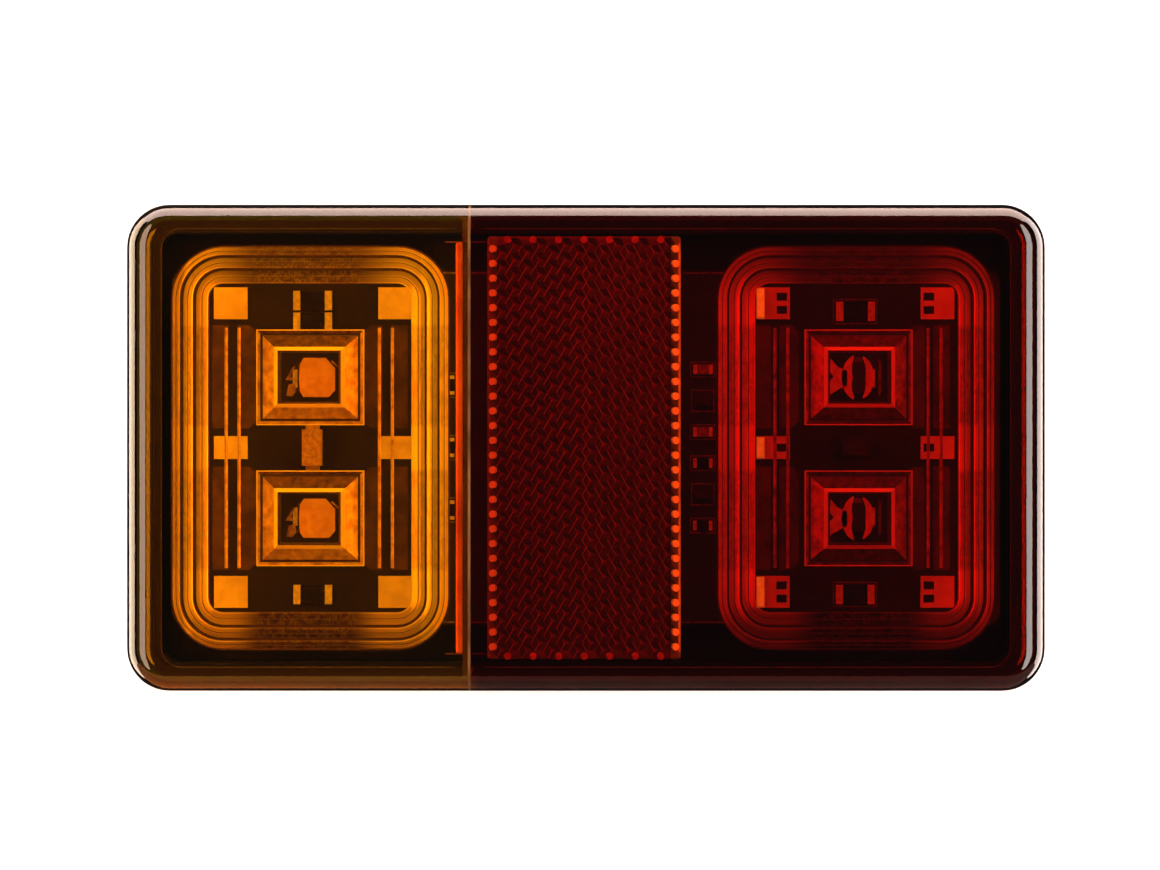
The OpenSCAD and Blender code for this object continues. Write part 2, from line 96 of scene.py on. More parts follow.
class TailLightSizes(bpy.types.PropertyGroup):
    corner: bpy.props.FloatProperty(
        name="Corner", description="Radius of the corners in the front view",
        default=7 * MM, unit="LENGTH")
    edge: bpy.props.FloatProperty(
        name="Edge", description="Radius of the rounded edge of the lens",
        default=5 * MM, unit="LENGTH")
    wall: bpy.props.FloatProperty(
        name="Wall", description="Wall of the lens", default=2.4 * MM, unit="LENGTH")
    optic_width: bpy.props.FloatProperty(
        name="Optic width", description="Width of the outermost step",
        default=45.4 * MM, unit="LENGTH")
    optic_height: bpy.props.FloatProperty(
        name="Optic height", description="Height of the outermost step",
        default=65.8 * MM, unit="LENGTH")
    optic_corner: bpy.props.FloatProperty(
        name="Optic corner", description="Corner radius of the outermost step",
        default=8.6 * MM, unit="LENGTH")
    step_depth: bpy.props.FloatProperty(
        name="Step depth", description="Depth of each step at its steep side",
        default=1.3 * MM, unit="LENGTH")
    guide_width: bpy.props.FloatProperty(
        name="Guide width", description="Width of a light guide frame",
        default=17.6 * MM, unit="LENGTH")
    guide_height: bpy.props.FloatProperty(
        name="Guide height", description="Height of a light guide frame",
        default=15.6 * MM, unit="LENGTH")
    window_width: bpy.props.FloatProperty(
        name="Window width", description="Width of the window in a light guide",
        default=9.6 * MM, unit="LENGTH")
    window_height: bpy.props.FloatProperty(
        name="Window height", description="Height of the window in a light guide",
        default=8.0 * MM, unit="LENGTH")
    cell: bpy.props.FloatProperty(
        name="Cell", description="Distance across the flats of a reflector cell",
        default=2.4 * MM, unit="LENGTH")


class TailLightColours(bpy.types.PropertyGroup):
    amber: bpy.props.StringProperty(
        name="Amber", description="Tint of the amber acrylic", default="#ffb907")
    red: bpy.props.StringProperty(
        name="Red", description="Tint of the red acrylic", default="#c81b07")


# Small helpers for colours and nodes

MATH, NOISE, SPLIT = "ShaderNodeMath", "ShaderNodeTexNoise", "ShaderNodeSeparateXYZ"
COMPARE, BOTH, RAMP = "FunctionNodeCompare", "FunctionNodeBooleanMath", "ShaderNodeMapRange"
# A ramp with soft ends, and a mix of two colours, which are its inputs 6 and 7
SOFT, COLOURS = {"interpolation_type": "SMOOTHSTEP"}, {"data_type": "RGBA"}


def linear(colour):
    """An sRGB hex colour as linear RGBA."""
    values = [int(colour[i:i + 2], 16) / 255 for i in (1, 3, 5)]
    return tuple(v / 12.92 if v <= 0.04045 else ((v + 0.055) / 1.055) ** 2.4
                 for v in values) + (1.0,)


def add(tree, kind, links=(), **settings):
    """Adds a node with its settings, input values and links, given by input name or number, or
    in order. A link comes from a socket or from the first output of a node, and a number among
    the links is the value of its input."""
    node = tree.nodes.new(kind)
    inputs = settings.pop("inputs", {})
    for key, value in settings.items():
        setattr(node, key, value)
    for key, value in inputs.items():
        node.inputs[key].default_value = value
    if not isinstance(links, dict):
        links = dict(enumerate(links))
    for key, source in links.items():
        if isinstance(source, (int, float)):
            node.inputs[key].default_value = source
        else:
            if isinstance(source, bpy.types.Node):
                source = source.outputs[0]
            tree.links.new(source, node.inputs[key])
    return node


def between(tree, amount, low, high):
    """A value that goes from low to high, sockets or numbers, as the amount goes from 0 to 1."""
    rise = add(tree, MATH, (high, low), operation="SUBTRACT")
    return add(tree, MATH, (low, add(tree, MATH, (amount, rise), operation="MULTIPLY")),
               operation="ADD")


# Small helpers for meshes


def at(x, z, depth):
    """A point of the frame from millimetres across, up and forwards."""
    return Vector((x * MM, -depth * MM, z * MM))


def mesh_piece(name, points, faces, mats, picks=None, smooth=None):
    """A mesh object of points and faces. mats is a key of MATS or several, and picks gives each
    face its number among them."""
    mesh = bpy.data.meshes.new(name)
    mesh.from_pydata([tuple(p) for p in points], [], faces)
    for mat in [mats] if isinstance(mats, str) else mats:
        mesh.materials.append(MATS[mat])
    if picks:
        for poly, pick in zip(mesh.polygons, picks):
            poly.material_index = pick
    obj = bpy.data.objects.new(name, mesh)
    bpy.context.collection.objects.link(obj)
    return soften(obj, smooth) if smooth else obj


def soften(obj, angle):
    """Smooth shading, with the edges over an angle in degrees left sharp."""
    obj.data.shade_smooth()
    obj.data.set_sharp_from_angle(angle=math.radians(angle))
    return obj


def outward(obj):
    """Merges the doubles of a closed piece and turns its faces outwards."""
    bm = bmesh.new()
    bm.from_mesh(obj.data)
    bmesh.ops.remove_doubles(bm, verts=bm.verts, dist=1e-7)
    bmesh.ops.recalc_face_normals(bm, faces=bm.faces)
    bm.to_mesh(obj.data)
    bm.free()
    return obj


def settle(obj, slot, *nodes):
    """Seats a finished piece on the lamp's body and hides the nodes it stands for. slot is not
    used.
    """
    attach(obj, "root")
    if nodes:
        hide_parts(*nodes)
    return obj


def settle_clear(obj, slot, *nodes):
    """Seats a piece of clear plastic, which lets the lights through to what lies behind."""
    obj.visible_shadow = False
    return settle(obj, slot, *nodes)


def settle_lens(obj, colour):
    """Seats a clear piece of the lens of one colour."""
    return settle_clear(obj, colour + "_plastic", colour + "_lens")


def round_loop(w, h, r, depth, cx=0, n=10):
    """Points round a rectangle with round corners, as seen from the front."""
    points = []
    for quarter in range(4):
        sx = 1 if quarter in (0, 3) else -1
        sz = 1 if quarter < 2 else -1
        for i in range(n + 1):
            a = math.radians(90 * quarter + 90 * i / n)
            points.append(at(cx + sx * (w / 2 - r) + r * math.cos(a),
                             sz * (h / 2 - r) + r * math.sin(a), depth))
    return points


def bridge(loops, closed=False):
    """Faces between loops of as many points, and round from the last to the first if closed."""
    n = len(loops[0])
    faces = []
    for k in range(len(loops) if closed else len(loops) - 1):
        a, b = k * n, (k + 1) % len(loops) * n
        for i in range(n):
            j = (i + 1) % n
            faces.append((a + i, a + j, b + j, b + i))
    return faces


def rim_section(w, h, r, section, cx=0):
    """Loops round a rectangle for a section of (inset, depth) points."""
    return [round_loop(w - 2 * i, h - 2 * i, max(r - i, 0.05), d, cx) for i, d in section]


def ring(name, size, section, mats, picks=None, cx=0, smooth=None):
    """A closed ring round a rectangle of (width, height, corner), from a section of points."""
    loops = rim_section(*size, section, cx)
    chosen = [pick for pick in picks or () for _ in loops[0]]
    return outward(mesh_piece(name, [p for loop in loops for p in loop], bridge(loops, True),
                              mats, chosen, smooth))


def boxes(name, corners, mats, picks=None, bevel=0.0):
    """One piece of boxes, each between two corners in millimetres across, up and forwards, with
    picks choosing each box's material."""
    points, faces, chosen = [], [], []
    for k, ((x0, z0, d0), (x1, z1, d1)) in enumerate(corners):
        n = len(points)
        points += [at(x, z, d) for d in (d0, d1)
                   for x, z in ((x0, z0), (x1, z0), (x1, z1), (x0, z1))]
        faces += [tuple(n + i for i in face) for face in (
            (0, 1, 2, 3), (7, 6, 5, 4), (0, 4, 5, 1), (1, 5, 6, 2), (2, 6, 7, 3), (3, 7, 4, 0))]
        chosen += [picks[k] if picks else 0] * 6
    obj = outward(mesh_piece(name, points, faces, mats, chosen))
    if bevel:
        mod = obj.modifiers.new("Bevel", "BEVEL")
        mod.width = bevel * MM
        mod.segments = 2
        mod.limit_method = "ANGLE"
        finish_modifiers(obj)
    return obj


def trim(obj, x, side):
    """Keeps the part of a closed piece on one side of an upright plane, and closes the cut."""
    bm = bmesh.new()
    bm.from_mesh(obj.data)
    cut = bmesh.ops.bisect_plane(bm, geom=bm.verts[:] + bm.edges[:] + bm.faces[:], dist=1e-7,
                                 plane_co=(x * MM, 0, 0), plane_no=(side, 0, 0),
                                 clear_outer=True)
    rim = [e for e in cut["geom_cut"] if isinstance(e, bmesh.types.BMEdge)]
    bmesh.ops.triangle_fill(bm, edges=rim, use_beauty=True)
    bmesh.ops.recalc_face_normals(bm, faces=bm.faces)
    bm.to_mesh(obj.data)
    bm.free()


def plate(name, shapes, depth, thickness, mats, picks=None):
    """One piece of flat plates, each from its outline of (across, up) points."""
    points, faces, chosen = [], [], []
    for number, shape in enumerate(shapes):
        k, start = len(shape), len(points)
        points += [at(x, z, d) for d in (depth, depth + thickness) for x, z in shape]
        faces += [tuple(start + i for i in range(k)),
                  tuple(start + k + i for i in reversed(range(k)))]
        faces += [(start + i, start + (i + 1) % k, start + k + (i + 1) % k, start + k + i)
                  for i in range(k)]
        chosen += [picks[number] if picks else 0] * (k + 2)
    return outward(mesh_piece(name, points, faces, mats, chosen))


def turned(name, cx, profile, mat, sides=32, smooth=35):
    """A turned piece on an axis through the lamp, from a profile of (depth, radius) points."""
    points = [at(cx + r * math.cos(math.tau * i / sides), r * math.sin(math.tau * i / sides), d)
              for d, r in profile for i in range(sides)]
    loops = [points[k:k + sides] for k in range(0, len(points), sides)]
    last = len(points) - sides
    faces = bridge(loops) + [tuple(range(sides)), tuple(last + i for i in reversed(range(sides)))]
    obj = outward(mesh_piece(name, points, faces, mat))
    return soften(obj, smooth) if smooth else obj


def finish_modifiers(obj):
    """Makes the evaluated piece a plain mesh and drops its modifiers."""
    graph = bpy.context.evaluated_depsgraph_get()
    mesh = bpy.data.meshes.new_from_object(obj.evaluated_get(graph))
    obj.modifiers.clear()
    obj.data = mesh
    return obj


def crescent(cx, inner, outer, start, end, n=12):
    """Outline of a part of a ring whose ends taper, between two angles."""
    turns = [math.radians(start + (end - start) * i / n) for i in range(n + 1)]
    tall = 1.4
    far = [(cx + outer * math.cos(a), tall * outer * math.sin(a)) for a in turns]
    near = []
    for i, a in reversed(list(enumerate(turns))):
        r = outer - (outer - inner) * math.sin(math.pi * (0.06 + 0.88 * i / n))
        near.append((cx + r * math.cos(a), tall * r * math.sin(a)))
    return far + near


# Helpers that read and paint the CAD nodes


def repaint(mat, *nodes):
    """Gives CAD nodes a material in place of their plain one."""
    for node in nodes:
        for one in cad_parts[node].material_slots:
            one.material = MATS[mat]


def islands(node):
    """Boxes of the separate solids of a node, each as its two corners in millimetres across, up
    and forwards."""
    bm = bmesh.new()
    bm.from_mesh(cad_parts[node].data)
    bmesh.ops.remove_doubles(bm, verts=bm.verts, dist=1e-6)
    left, found = set(bm.verts), []
    while left:
        stack, group = [left.pop()], []
        while stack:
            v = stack.pop()
            group.append(v.co.copy())
            for e in v.link_edges:
                other = e.other_vert(v)
                if other in left:
                    left.remove(other)
                    stack.append(other)
        xs, ys, zs = ([c[i] / MM for c in group] for i in range(3))
        found.append(((min(xs), min(zs), -max(ys)), (max(xs), max(zs), -min(ys))))
    bm.free()
    return sorted(found)


def outline_strips(lo, hi, gap=0.5):
    """Four thin printed strips on the board round a component's footprint."""
    x0, z0, x1, z1 = lo[0] - gap, lo[1] - gap, hi[0] + gap, hi[1] + gap
    return [((a, c, BOARD_FRONT), (b, d, BOARD_FRONT + INK)) for a, b, c, d in (
        (x0, x1, z0, z0 + LINE), (x0, x1, z1 - LINE, z1),
        (x0, x0 + LINE, z0 + LINE, z1 - LINE), (x1 - LINE, x1, z0 + LINE, z1 - LINE))]


# Geometry trees


def new_tree(name, sockets):
    """An empty geometry tree and its inputs, each given as (name, kind, default), with Material
    as the last."""
    tree = bpy.data.node_groups.new(name, "GeometryNodeTree")
    for label, kind, default in sockets + [("Material", "Material", None)]:
        item = tree.interface.new_socket(
            name=label, in_out="INPUT", socket_type="NodeSocket" + kind)
        if default is not None:
            item.default_value = default
    tree.interface.new_socket(name="Geometry", in_out="OUTPUT", socket_type="NodeSocketGeometry")
    return tree, add(tree, "NodeGroupInput").outputs


def close_tree(tree, given, geometry):
    """Realizes the copies, sets their material and ends the tree."""
    real = add(tree, "GeometryNodeRealizeInstances", {"Geometry": geometry})
    done = add(tree, "GeometryNodeSetMaterial",
               {"Geometry": real, "Material": given["Material"]})
    add(tree, "NodeGroupOutput", {"Geometry": done})
    return tree


def grow(name, tree, values, mat):
    """A plain mesh piece made by a geometry tree with these input values."""
    mesh = bpy.data.meshes.new(name)
    obj = bpy.data.objects.new(name, mesh)
    bpy.context.collection.objects.link(obj)
    mod = obj.modifiers.new("Geometry", "NODES")
    mod.node_group = tree
    sockets = {i.name: i.identifier for i in tree.interface.items_tree if i.in_out == "INPUT"}
    for label, value in {**values, "Material": MATS[mat]}.items():
        mod[sockets[label]] = value
    obj.update_tag()
    return finish_modifiers(obj)


def cell_tree():
    """Corner-cube cells in staggered columns, as a sheet in the XZ plane that points backwards."""
    tree, given = new_tree("Corner cube cells", [
        ("Columns", "Int", 14), ("Rows", "Int", 28), ("Across flats", "Float", 0.0024),
        ("Place", "Vector", (0, 0, 0))])
    flats, columns, rows = (given[k] for k in ("Across flats", "Columns", "Rows"))
    pitch = add(tree, MATH, (flats, math.cos(math.radians(30))), operation="MULTIPLY")
    radius = add(tree, MATH, (flats, math.sqrt(3)), operation="DIVIDE")
    rise = add(tree, MATH, (radius, math.sqrt(2)), operation="DIVIDE")
    width = add(tree, MATH, (pitch, add(tree, MATH, (columns, 1.0), operation="SUBTRACT")),
                operation="MULTIPLY")
    height = add(tree, MATH, (flats, add(tree, MATH, (rows, 1.0), operation="SUBTRACT")),
                 operation="MULTIPLY")
    grid = add(tree, "GeometryNodeMeshGrid", {
        "Size X": width, "Size Y": height, "Vertices X": columns, "Vertices Y": rows})
    # Every other column moves up by half a cell
    where = add(tree, SPLIT, (add(tree, "GeometryNodeInputPosition"),)).outputs
    half_width = add(tree, MATH, (width, 2.0), operation="DIVIDE")
    from_left = add(tree, MATH, (where["X"], half_width), operation="ADD")
    pitches = add(tree, MATH, (from_left, pitch), operation="DIVIDE")
    column = add(tree, MATH, (pitches,), operation="ROUND")
    odd = add(tree, MATH, (column, 2.0), operation="MODULO")
    side = add(tree, MATH, (odd, 0.5), operation="SUBTRACT")
    half_cell = add(tree, MATH, (flats, 0.5), operation="MULTIPLY")
    shift = add(tree, MATH, (side, half_cell), operation="MULTIPLY")
    points = add(tree, "GeometryNodeSetPosition", {
        "Geometry": grid, "Offset": add(tree, "ShaderNodeCombineXYZ", {"Y": shift})})
    # The corners of a cell stand one or two rises over its tip in turn
    fan = add(tree, "GeometryNodeMeshCircle", {"Radius": radius},
              fill_type="TRIANGLE_FAN", inputs={"Vertices": 6})
    inner = add(tree, SPLIT, (add(tree, "GeometryNodeInputPosition"),)).outputs
    x2, y2 = (add(tree, MATH, (inner[axis], 2.0), operation="POWER") for axis in "XY")
    reach = add(tree, MATH, (x2, y2), operation="ADD")
    outer = add(tree, MATH, (reach, 1e-8), operation="GREATER_THAN")
    parity = add(tree, MATH, (add(tree, "GeometryNodeInputIndex"), 2.0), operation="MODULO")
    one_or_two = add(tree, MATH, (parity, 1.0), operation="ADD")
    rises = add(tree, MATH, (outer, one_or_two), operation="MULTIPLY")
    lift = add(tree, MATH, (rises, rise), operation="MULTIPLY")
    cell = add(tree, "GeometryNodeSetPosition", {
        "Geometry": fan, "Offset": add(tree, "ShaderNodeCombineXYZ", {"Z": lift})})
    copies = add(tree, "GeometryNodeInstanceOnPoints", {"Points": points, "Instance": cell})
    real = add(tree, "GeometryNodeRealizeInstances", {"Geometry": copies})
    merged = add(tree, "GeometryNodeMergeByDistance", {"Geometry": real},
                 inputs={"Distance": 1e-5})
    upright = add(tree, "GeometryNodeTransform",
                  {"Geometry": merged, "Translation": given["Place"]},
                  inputs={"Rotation": (math.radians(90), 0, 0)})
    return close_tree(tree, given, upright)


def ridge_tree():
    """Fine ridges along the slanting folds of a sheet of cells: Lean 1 takes the folds that rise
    towards the middle line, and -1 those that fall."""
    tree, given = new_tree("Ridges on folds", [
        ("Sheet", "Object", None), ("Radius", "Float", 0.00006), ("Middle", "Float", 0.0),
        ("Lean", "Float", 1.0), ("Front", "Float", 0.0)])
    sheet = add(tree, "GeometryNodeObjectInfo", {"Object": given["Sheet"]})
    sharp = add(tree, COMPARE, (add(tree, "GeometryNodeInputMeshEdgeAngle"), 0.2),
                operation="GREATER_THAN")
    ends = add(tree, "GeometryNodeInputMeshEdgeVertices").outputs
    edge = add(tree, "ShaderNodeVectorMath", (ends["Position 2"], ends["Position 1"]),
               operation="SUBTRACT")
    run = add(tree, SPLIT, (edge,)).outputs
    place = add(tree, SPLIT, (ends["Position 1"],)).outputs
    from_middle = add(tree, MATH, (place["X"], given["Middle"]), operation="SUBTRACT")
    half = add(tree, MATH, (from_middle,), operation="SIGN")
    slope = add(tree, MATH, (run["X"], run["Z"]), operation="MULTIPLY")
    lean = add(tree, MATH, (slope,), operation="SIGN")
    towards = add(tree, MATH, (half, lean), operation="MULTIPLY")
    slant = add(tree, MATH, (towards, given["Lean"]), operation="MULTIPLY")
    climb = add(tree, MATH, (run["Z"],), operation="ABSOLUTE")
    rising = add(tree, COMPARE, (climb, 1e-4), operation="GREATER_THAN")
    chosen = add(tree, COMPARE, (slant, -0.5), operation="LESS_THAN")
    folds = add(tree, BOTH, (sharp, chosen), operation="AND")
    wanted = add(tree, BOTH, (folds, rising), operation="AND")
    lines = add(tree, "GeometryNodeMeshToCurve",
                {"Mesh": sheet.outputs["Geometry"], "Selection": wanted})
    # The folds come forwards to a quarter of their depth
    depth = add(tree, SPLIT, (add(tree, "GeometryNodeInputPosition"),)).outputs["Y"]
    behind = add(tree, MATH, (given["Front"], depth), operation="SUBTRACT")
    nearer = add(tree, MATH, (0.75, behind), operation="MULTIPLY")
    raised = add(tree, "GeometryNodeSetPosition", {
        "Geometry": lines, "Offset": add(tree, "ShaderNodeCombineXYZ", {"Y": nearer})})
    section = add(tree, "GeometryNodeCurvePrimitiveCircle", {"Radius": given["Radius"]},
                  inputs={"Resolution": 3})
    tubes = add(tree, "GeometryNodeCurveToMesh", {"Curve": raised, "Profile Curve": section},
                inputs={"Fill Caps": True})
    return close_tree(tree, given, tubes)


def pin_tree():
    """Round pins on the points of a line, each turned the same way."""
    tree, given = new_tree("Pins on a line", [
        ("Count", "Int", 2), ("Start", "Vector", (0, 0, 0)), ("Step", "Vector", (0.001, 0, 0)),
        ("Radius", "Float", 0.0003), ("Length", "Float", 0.05), ("Sides", "Int", 10),
        ("Turn", "Vector", (0, 0, 0))])
    line = add(tree, "GeometryNodeMeshLine", {
        "Count": given["Count"], "Start Location": given["Start"], "Offset": given["Step"]})
    pin = add(tree, "GeometryNodeMeshCylinder", {
        "Radius": given["Radius"], "Depth": given["Length"], "Vertices": given["Sides"]})
    laid = add(tree, "GeometryNodeTransform", {"Geometry": pin, "Rotation": given["Turn"]})
    copies = add(tree, "GeometryNodeInstanceOnPoints", {"Points": line, "Instance": laid})
    return close_tree(tree, given, copies)


def thread_tree():
    """Rounded turns stacked along a stud, one ring a pitch, for each stud of a line."""
    tree, given = new_tree("Stud threads", [
        ("Studs", "Int", 2), ("Start", "Vector", (0, 0, 0)), ("Step", "Vector", (0.045, 0, 0)),
        ("Turns", "Int", 26), ("Pitch", "Float", 0.0008), ("Radius", "Float", 0.0025)])
    crest, pitch = given["Radius"], given["Pitch"]
    studs = add(tree, "GeometryNodeMeshLine", {
        "Count": given["Studs"], "Start Location": given["Start"], "Offset": given["Step"]})
    turns = add(tree, "GeometryNodeMeshLine", {
        "Count": given["Turns"], "Offset": add(tree, "ShaderNodeCombineXYZ", {"Y": pitch})})
    half = add(tree, MATH, (pitch, 0.5), operation="MULTIPLY")
    root = add(tree, MATH, (crest, half), operation="SUBTRACT")
    # The upper half of a turn is the lower one upside down
    lower, upper = (add(tree, "GeometryNodeMeshCone", {
        "Radius Top": top, "Radius Bottom": foot, "Depth": half}, inputs={"Vertices": 24})
        for top, foot in ((crest, root), (root, crest)))
    raised = add(tree, "GeometryNodeTransform", {
        "Geometry": upper, "Translation": add(tree, "ShaderNodeCombineXYZ", {"Z": half})})
    turn = add(tree, "GeometryNodeJoinGeometry", {0: lower})
    tree.links.new(raised.outputs[0], turn.inputs[0])
    laid = add(tree, "GeometryNodeTransform", {"Geometry": turn},
               inputs={"Rotation": (math.radians(-90), 0, 0)})
    one = add(tree, "GeometryNodeInstanceOnPoints", {"Points": turns, "Instance": laid})
    whole = add(tree, "GeometryNodeRealizeInstances", {"Geometry": one})
    copies = add(tree, "GeometryNodeInstanceOnPoints", {"Points": studs, "Instance": whole})
    return close_tree(tree, given, copies)


# Materials, each named for what the real one is

MATS = {}


def material(name, roughness, **shader):
    """A material with an empty tree, its shader and Object coordinates."""
    mat = bpy.data.materials.new(name)
    mat.use_nodes = True
    tree = mat.node_tree
    tree.nodes.clear()
    bsdf = add(tree, "ShaderNodeBsdfPrincipled", inputs={"Roughness": roughness, **shader})
    add(tree, "ShaderNodeOutputMaterial", {"Surface": bsdf}).is_active_output = True
    place = add(tree, "ShaderNodeTexCoord")
    return mat, tree, bsdf, place.outputs["Object"]


def mottle(tree, place, scale_mm, dark, light, detail=3.0, low=0.35, high=0.65):
    """A cloudy pattern between two colours, with patches of the given size."""
    noise = add(tree, NOISE, {"Vector": place, "Scale": 1 / (scale_mm * MM), "Detail": detail})
    ramp = add(tree, "ShaderNodeValToRGB", {"Fac": noise})
    for stop, position, colour in zip(ramp.color_ramp.elements, (low, high), (dark, light)):
        stop.position, stop.color = position, linear(colour)
    return ramp.outputs["Color"]


def grain(tree, bsdf, place, scale_mm, height_mm, strength):
    """A fine bump with grains of the given size."""
    noise = add(tree, NOISE, {"Vector": place, "Scale": 1 / (scale_mm * MM), "Detail": 2.0})
    bump = add(tree, "ShaderNodeBump", {
        "Height": noise, "Strength": strength, "Distance": height_mm * MM})
    tree.links.new(bump.outputs["Normal"], bsdf.inputs["Normal"])


def surface(name, roughness, scale_mm, dark, light, bump=None, shader=None):
    """A plain surface: a cloudy tone, and a grain of (size, height, strength) if given."""
    mat, tree, bsdf, place = material(name, roughness, **(shader or {}))
    tree.links.new(mottle(tree, place, scale_mm, dark, light), bsdf.inputs["Base Color"])
    if bump:
        grain(tree, bsdf, place, *bump)
    return mat


def clear_acrylic(name, dark, light, highlight_spots=(), pale="#ffffff"):
    """Injection-moulded PMMA from a polished tool: a glossy tinted window, a shade uneven in tint,
    and painted highlights, where it turns paler over bright prisms and solder: (across, up, half
    width, half height, amount)."""
    mat, tree, bsdf, place = material(name, 0.02, IOR=1.49, **{"Transmission Weight": 1.0})
    colour = mottle(tree, place, 30, dark, light)
    # Painted highlights: the tint turns pale within each spot
    if highlight_spots:
        split = add(tree, SPLIT, (place,)).outputs
        amount, soft = 0.0, 0.25
        for x, z, half_w, half_h, most in highlight_spots:
            near = []
            for axis, middle, half in (("X", x, half_w), ("Z", z, half_h)):
                offset = add(tree, MATH, (split[axis], middle * MM), operation="SUBTRACT")
                away = add(tree, MATH, (offset,), operation="ABSOLUTE")
                near.append(add(tree, RAMP, (away, (half + soft) * MM, half * MM), **SOFT))
            inside = add(tree, MATH, near, operation="MULTIPLY")
            share = add(tree, MATH, (inside, most), operation="MULTIPLY")
            amount = add(tree, MATH, (amount, share), operation="MAXIMUM")
        colour = add(tree, "ShaderNodeMix", {"Factor": amount, 6: colour},
                     inputs={7: linear(pale)}, **COLOURS).outputs[2]
    tree.links.new(colour, bsdf.inputs["Base Color"])
    return mat


def prism_acrylic(name, dark, light, streak_mm=1.5, roughness=0.28, mirror=0.5):
    """Prism faces moulded in the lens: part mirror by total reflection, part glow, a bit wavy."""
    mat, tree, bsdf, place = material(name, roughness, Metallic=mirror)
    tree.links.new(mottle(tree, place, streak_mm, dark, light, 4.0, 0.3, 0.7),
                   bsdf.inputs["Base Color"])
    grain(tree, bsdf, place, 0.9, 0.05, 0.35)
    return mat


def stepped_acrylic(name, centre, dark, light, end_shades, least, inner):
    """Step faces of an optic, with light and shade painted by place. In the lamp they bend the
    view down to the board; here the tone is painted bright over its tinned areas, streaky beside
    the plain board and painted dark as shade in the middle of the top and bottom. end_shades are
    the painted shades of the top and bottom, least is the light that the streaks leave, and inner
    is the share of light on the inner steps. The distances are millimetres from the middle of the
    optic, where the tinned areas and the steps begin and end."""
    mat, tree, bsdf, place = material(name, 0.3, Metallic=0.45)
    centred = add(tree, "ShaderNodeMapping", {"Vector": place},
                  inputs={"Location": (-centre * MM, 0, 0)})
    own = add(tree, SPLIT, (centred,)).outputs
    across, up = (add(tree, MATH, (own[axis],), operation="ABSOLUTE") for axis in "XZ")
    raw = add(tree, SPLIT, (place,)).outputs
    top = add(tree, RAMP, (raw["Z"], -1.0 * MM, 1.0 * MM), **SOFT)
    # Painted light along the top and bottom fades out towards the middle
    bottoms = add(tree, RAMP, (across, 6.4 * MM, 13.2 * MM), **SOFT)
    tops = add(tree, RAMP, (across, 6.0 * MM, 19.0 * MM), **SOFT)
    beside = between(tree, top, bottoms, tops)
    outside = add(tree, RAMP, (up, 3.0 * MM, 5.5 * MM), **SOFT)
    middle = add(tree, MATH, (1.0, outside), operation="SUBTRACT")
    far = add(tree, RAMP, (up, 17.8 * MM, 20.5 * MM), **SOFT)
    over_tin = add(tree, MATH, (far, middle), operation="MAXIMUM")
    long = add(tree, "ShaderNodeMapping", {"Vector": place},
               inputs={"Scale": (1.0, 1.0, 0.12)}).outputs[0]
    noise = add(tree, NOISE, {"Vector": long, "Scale": 1 / (0.35 * MM), "Detail": 3.0})
    streaks = add(tree, RAMP, (noise, 0.3, 0.62), **SOFT)
    noise = add(tree, NOISE, {"Vector": place, "Scale": 1 / (1.3 * MM), "Detail": 2.0})
    patches = add(tree, RAMP, (noise, 0.3, 0.6), **SOFT)
    mixed = add(tree, MATH, (streaks, patches), operation="MULTIPLY")
    # The inmost step is painted darker between the streaks
    loss = add(tree, RAMP, (across, 19.2 * MM, 18.7 * MM), **SOFT)
    loss = add(tree, MATH, (loss, 0.5 * (1 - least)), operation="MULTIPLY")
    inmost = add(tree, MATH, (1.0, loss), operation="SUBTRACT")
    gain = add(tree, MATH, (mixed, 0.95 - least), operation="MULTIPLY")
    streaky = add(tree, MATH, (least, gain), operation="ADD")
    streaky = add(tree, MATH, (streaky, inmost), operation="MULTIPLY")
    side = add(tree, MATH, (over_tin, streaky), operation="MAXIMUM")
    faint = add(tree, MATH, (mixed, 0.25), operation="MULTIPLY")
    beside = add(tree, MATH, (beside, faint), operation="MAXIMUM")
    lit = add(tree, MATH, (beside, side), operation="MULTIPLY")
    # The inner steps are painted darker than the outmost one
    second = add(tree, RAMP, (across, 18.4 * MM, 18.9 * MM), **SOFT)
    second = add(tree, MATH, (0.65, second), operation="MULTIPLY")
    first = add(tree, RAMP, (across, 20.6 * MM, 21.1 * MM), **SOFT)
    rest = between(tree, first, second, 1.0)
    rest = add(tree, MATH, (1 - inner, rest), operation="MULTIPLY")
    level = add(tree, MATH, (inner, rest), operation="ADD")
    lit = add(tree, MATH, (lit, level), operation="MULTIPLY")
    end = add(tree, RAMP, (up, 21.0 * MM, 31.0 * MM), **SOFT)
    ends = add(tree, MATH, (end, between(tree, top, *reversed(end_shades))),
               operation="MULTIPLY")
    # The outmost step is painted darker towards the ends of the lamp
    outmost = add(tree, MATH, (raw["X"],), operation="ABSOLUTE")
    outmost = add(tree, RAMP, (outmost, 64.8 * MM, 65.8 * MM), **SOFT)
    outmost = add(tree, MATH, (0.5, outmost), operation="MULTIPLY")
    shade = add(tree, MATH, [add(tree, MATH, (1.0, loss), operation="SUBTRACT")
                             for loss in (ends, outmost)], operation="MULTIPLY")
    lit = add(tree, MATH, (lit, shade), operation="MULTIPLY")
    tone = add(tree, "ShaderNodeMix", {"Factor": lit},
               inputs={6: linear(dark), 7: linear(light)}, **COLOURS).outputs[2]
    tree.links.new(tone, bsdf.inputs["Base Color"])
    grain(tree, bsdf, long, 0.6, 0.05, 0.4)
    return mat


METAL, CLEAR, COAT = "Metallic", "Transmission Weight", "Coat Weight"
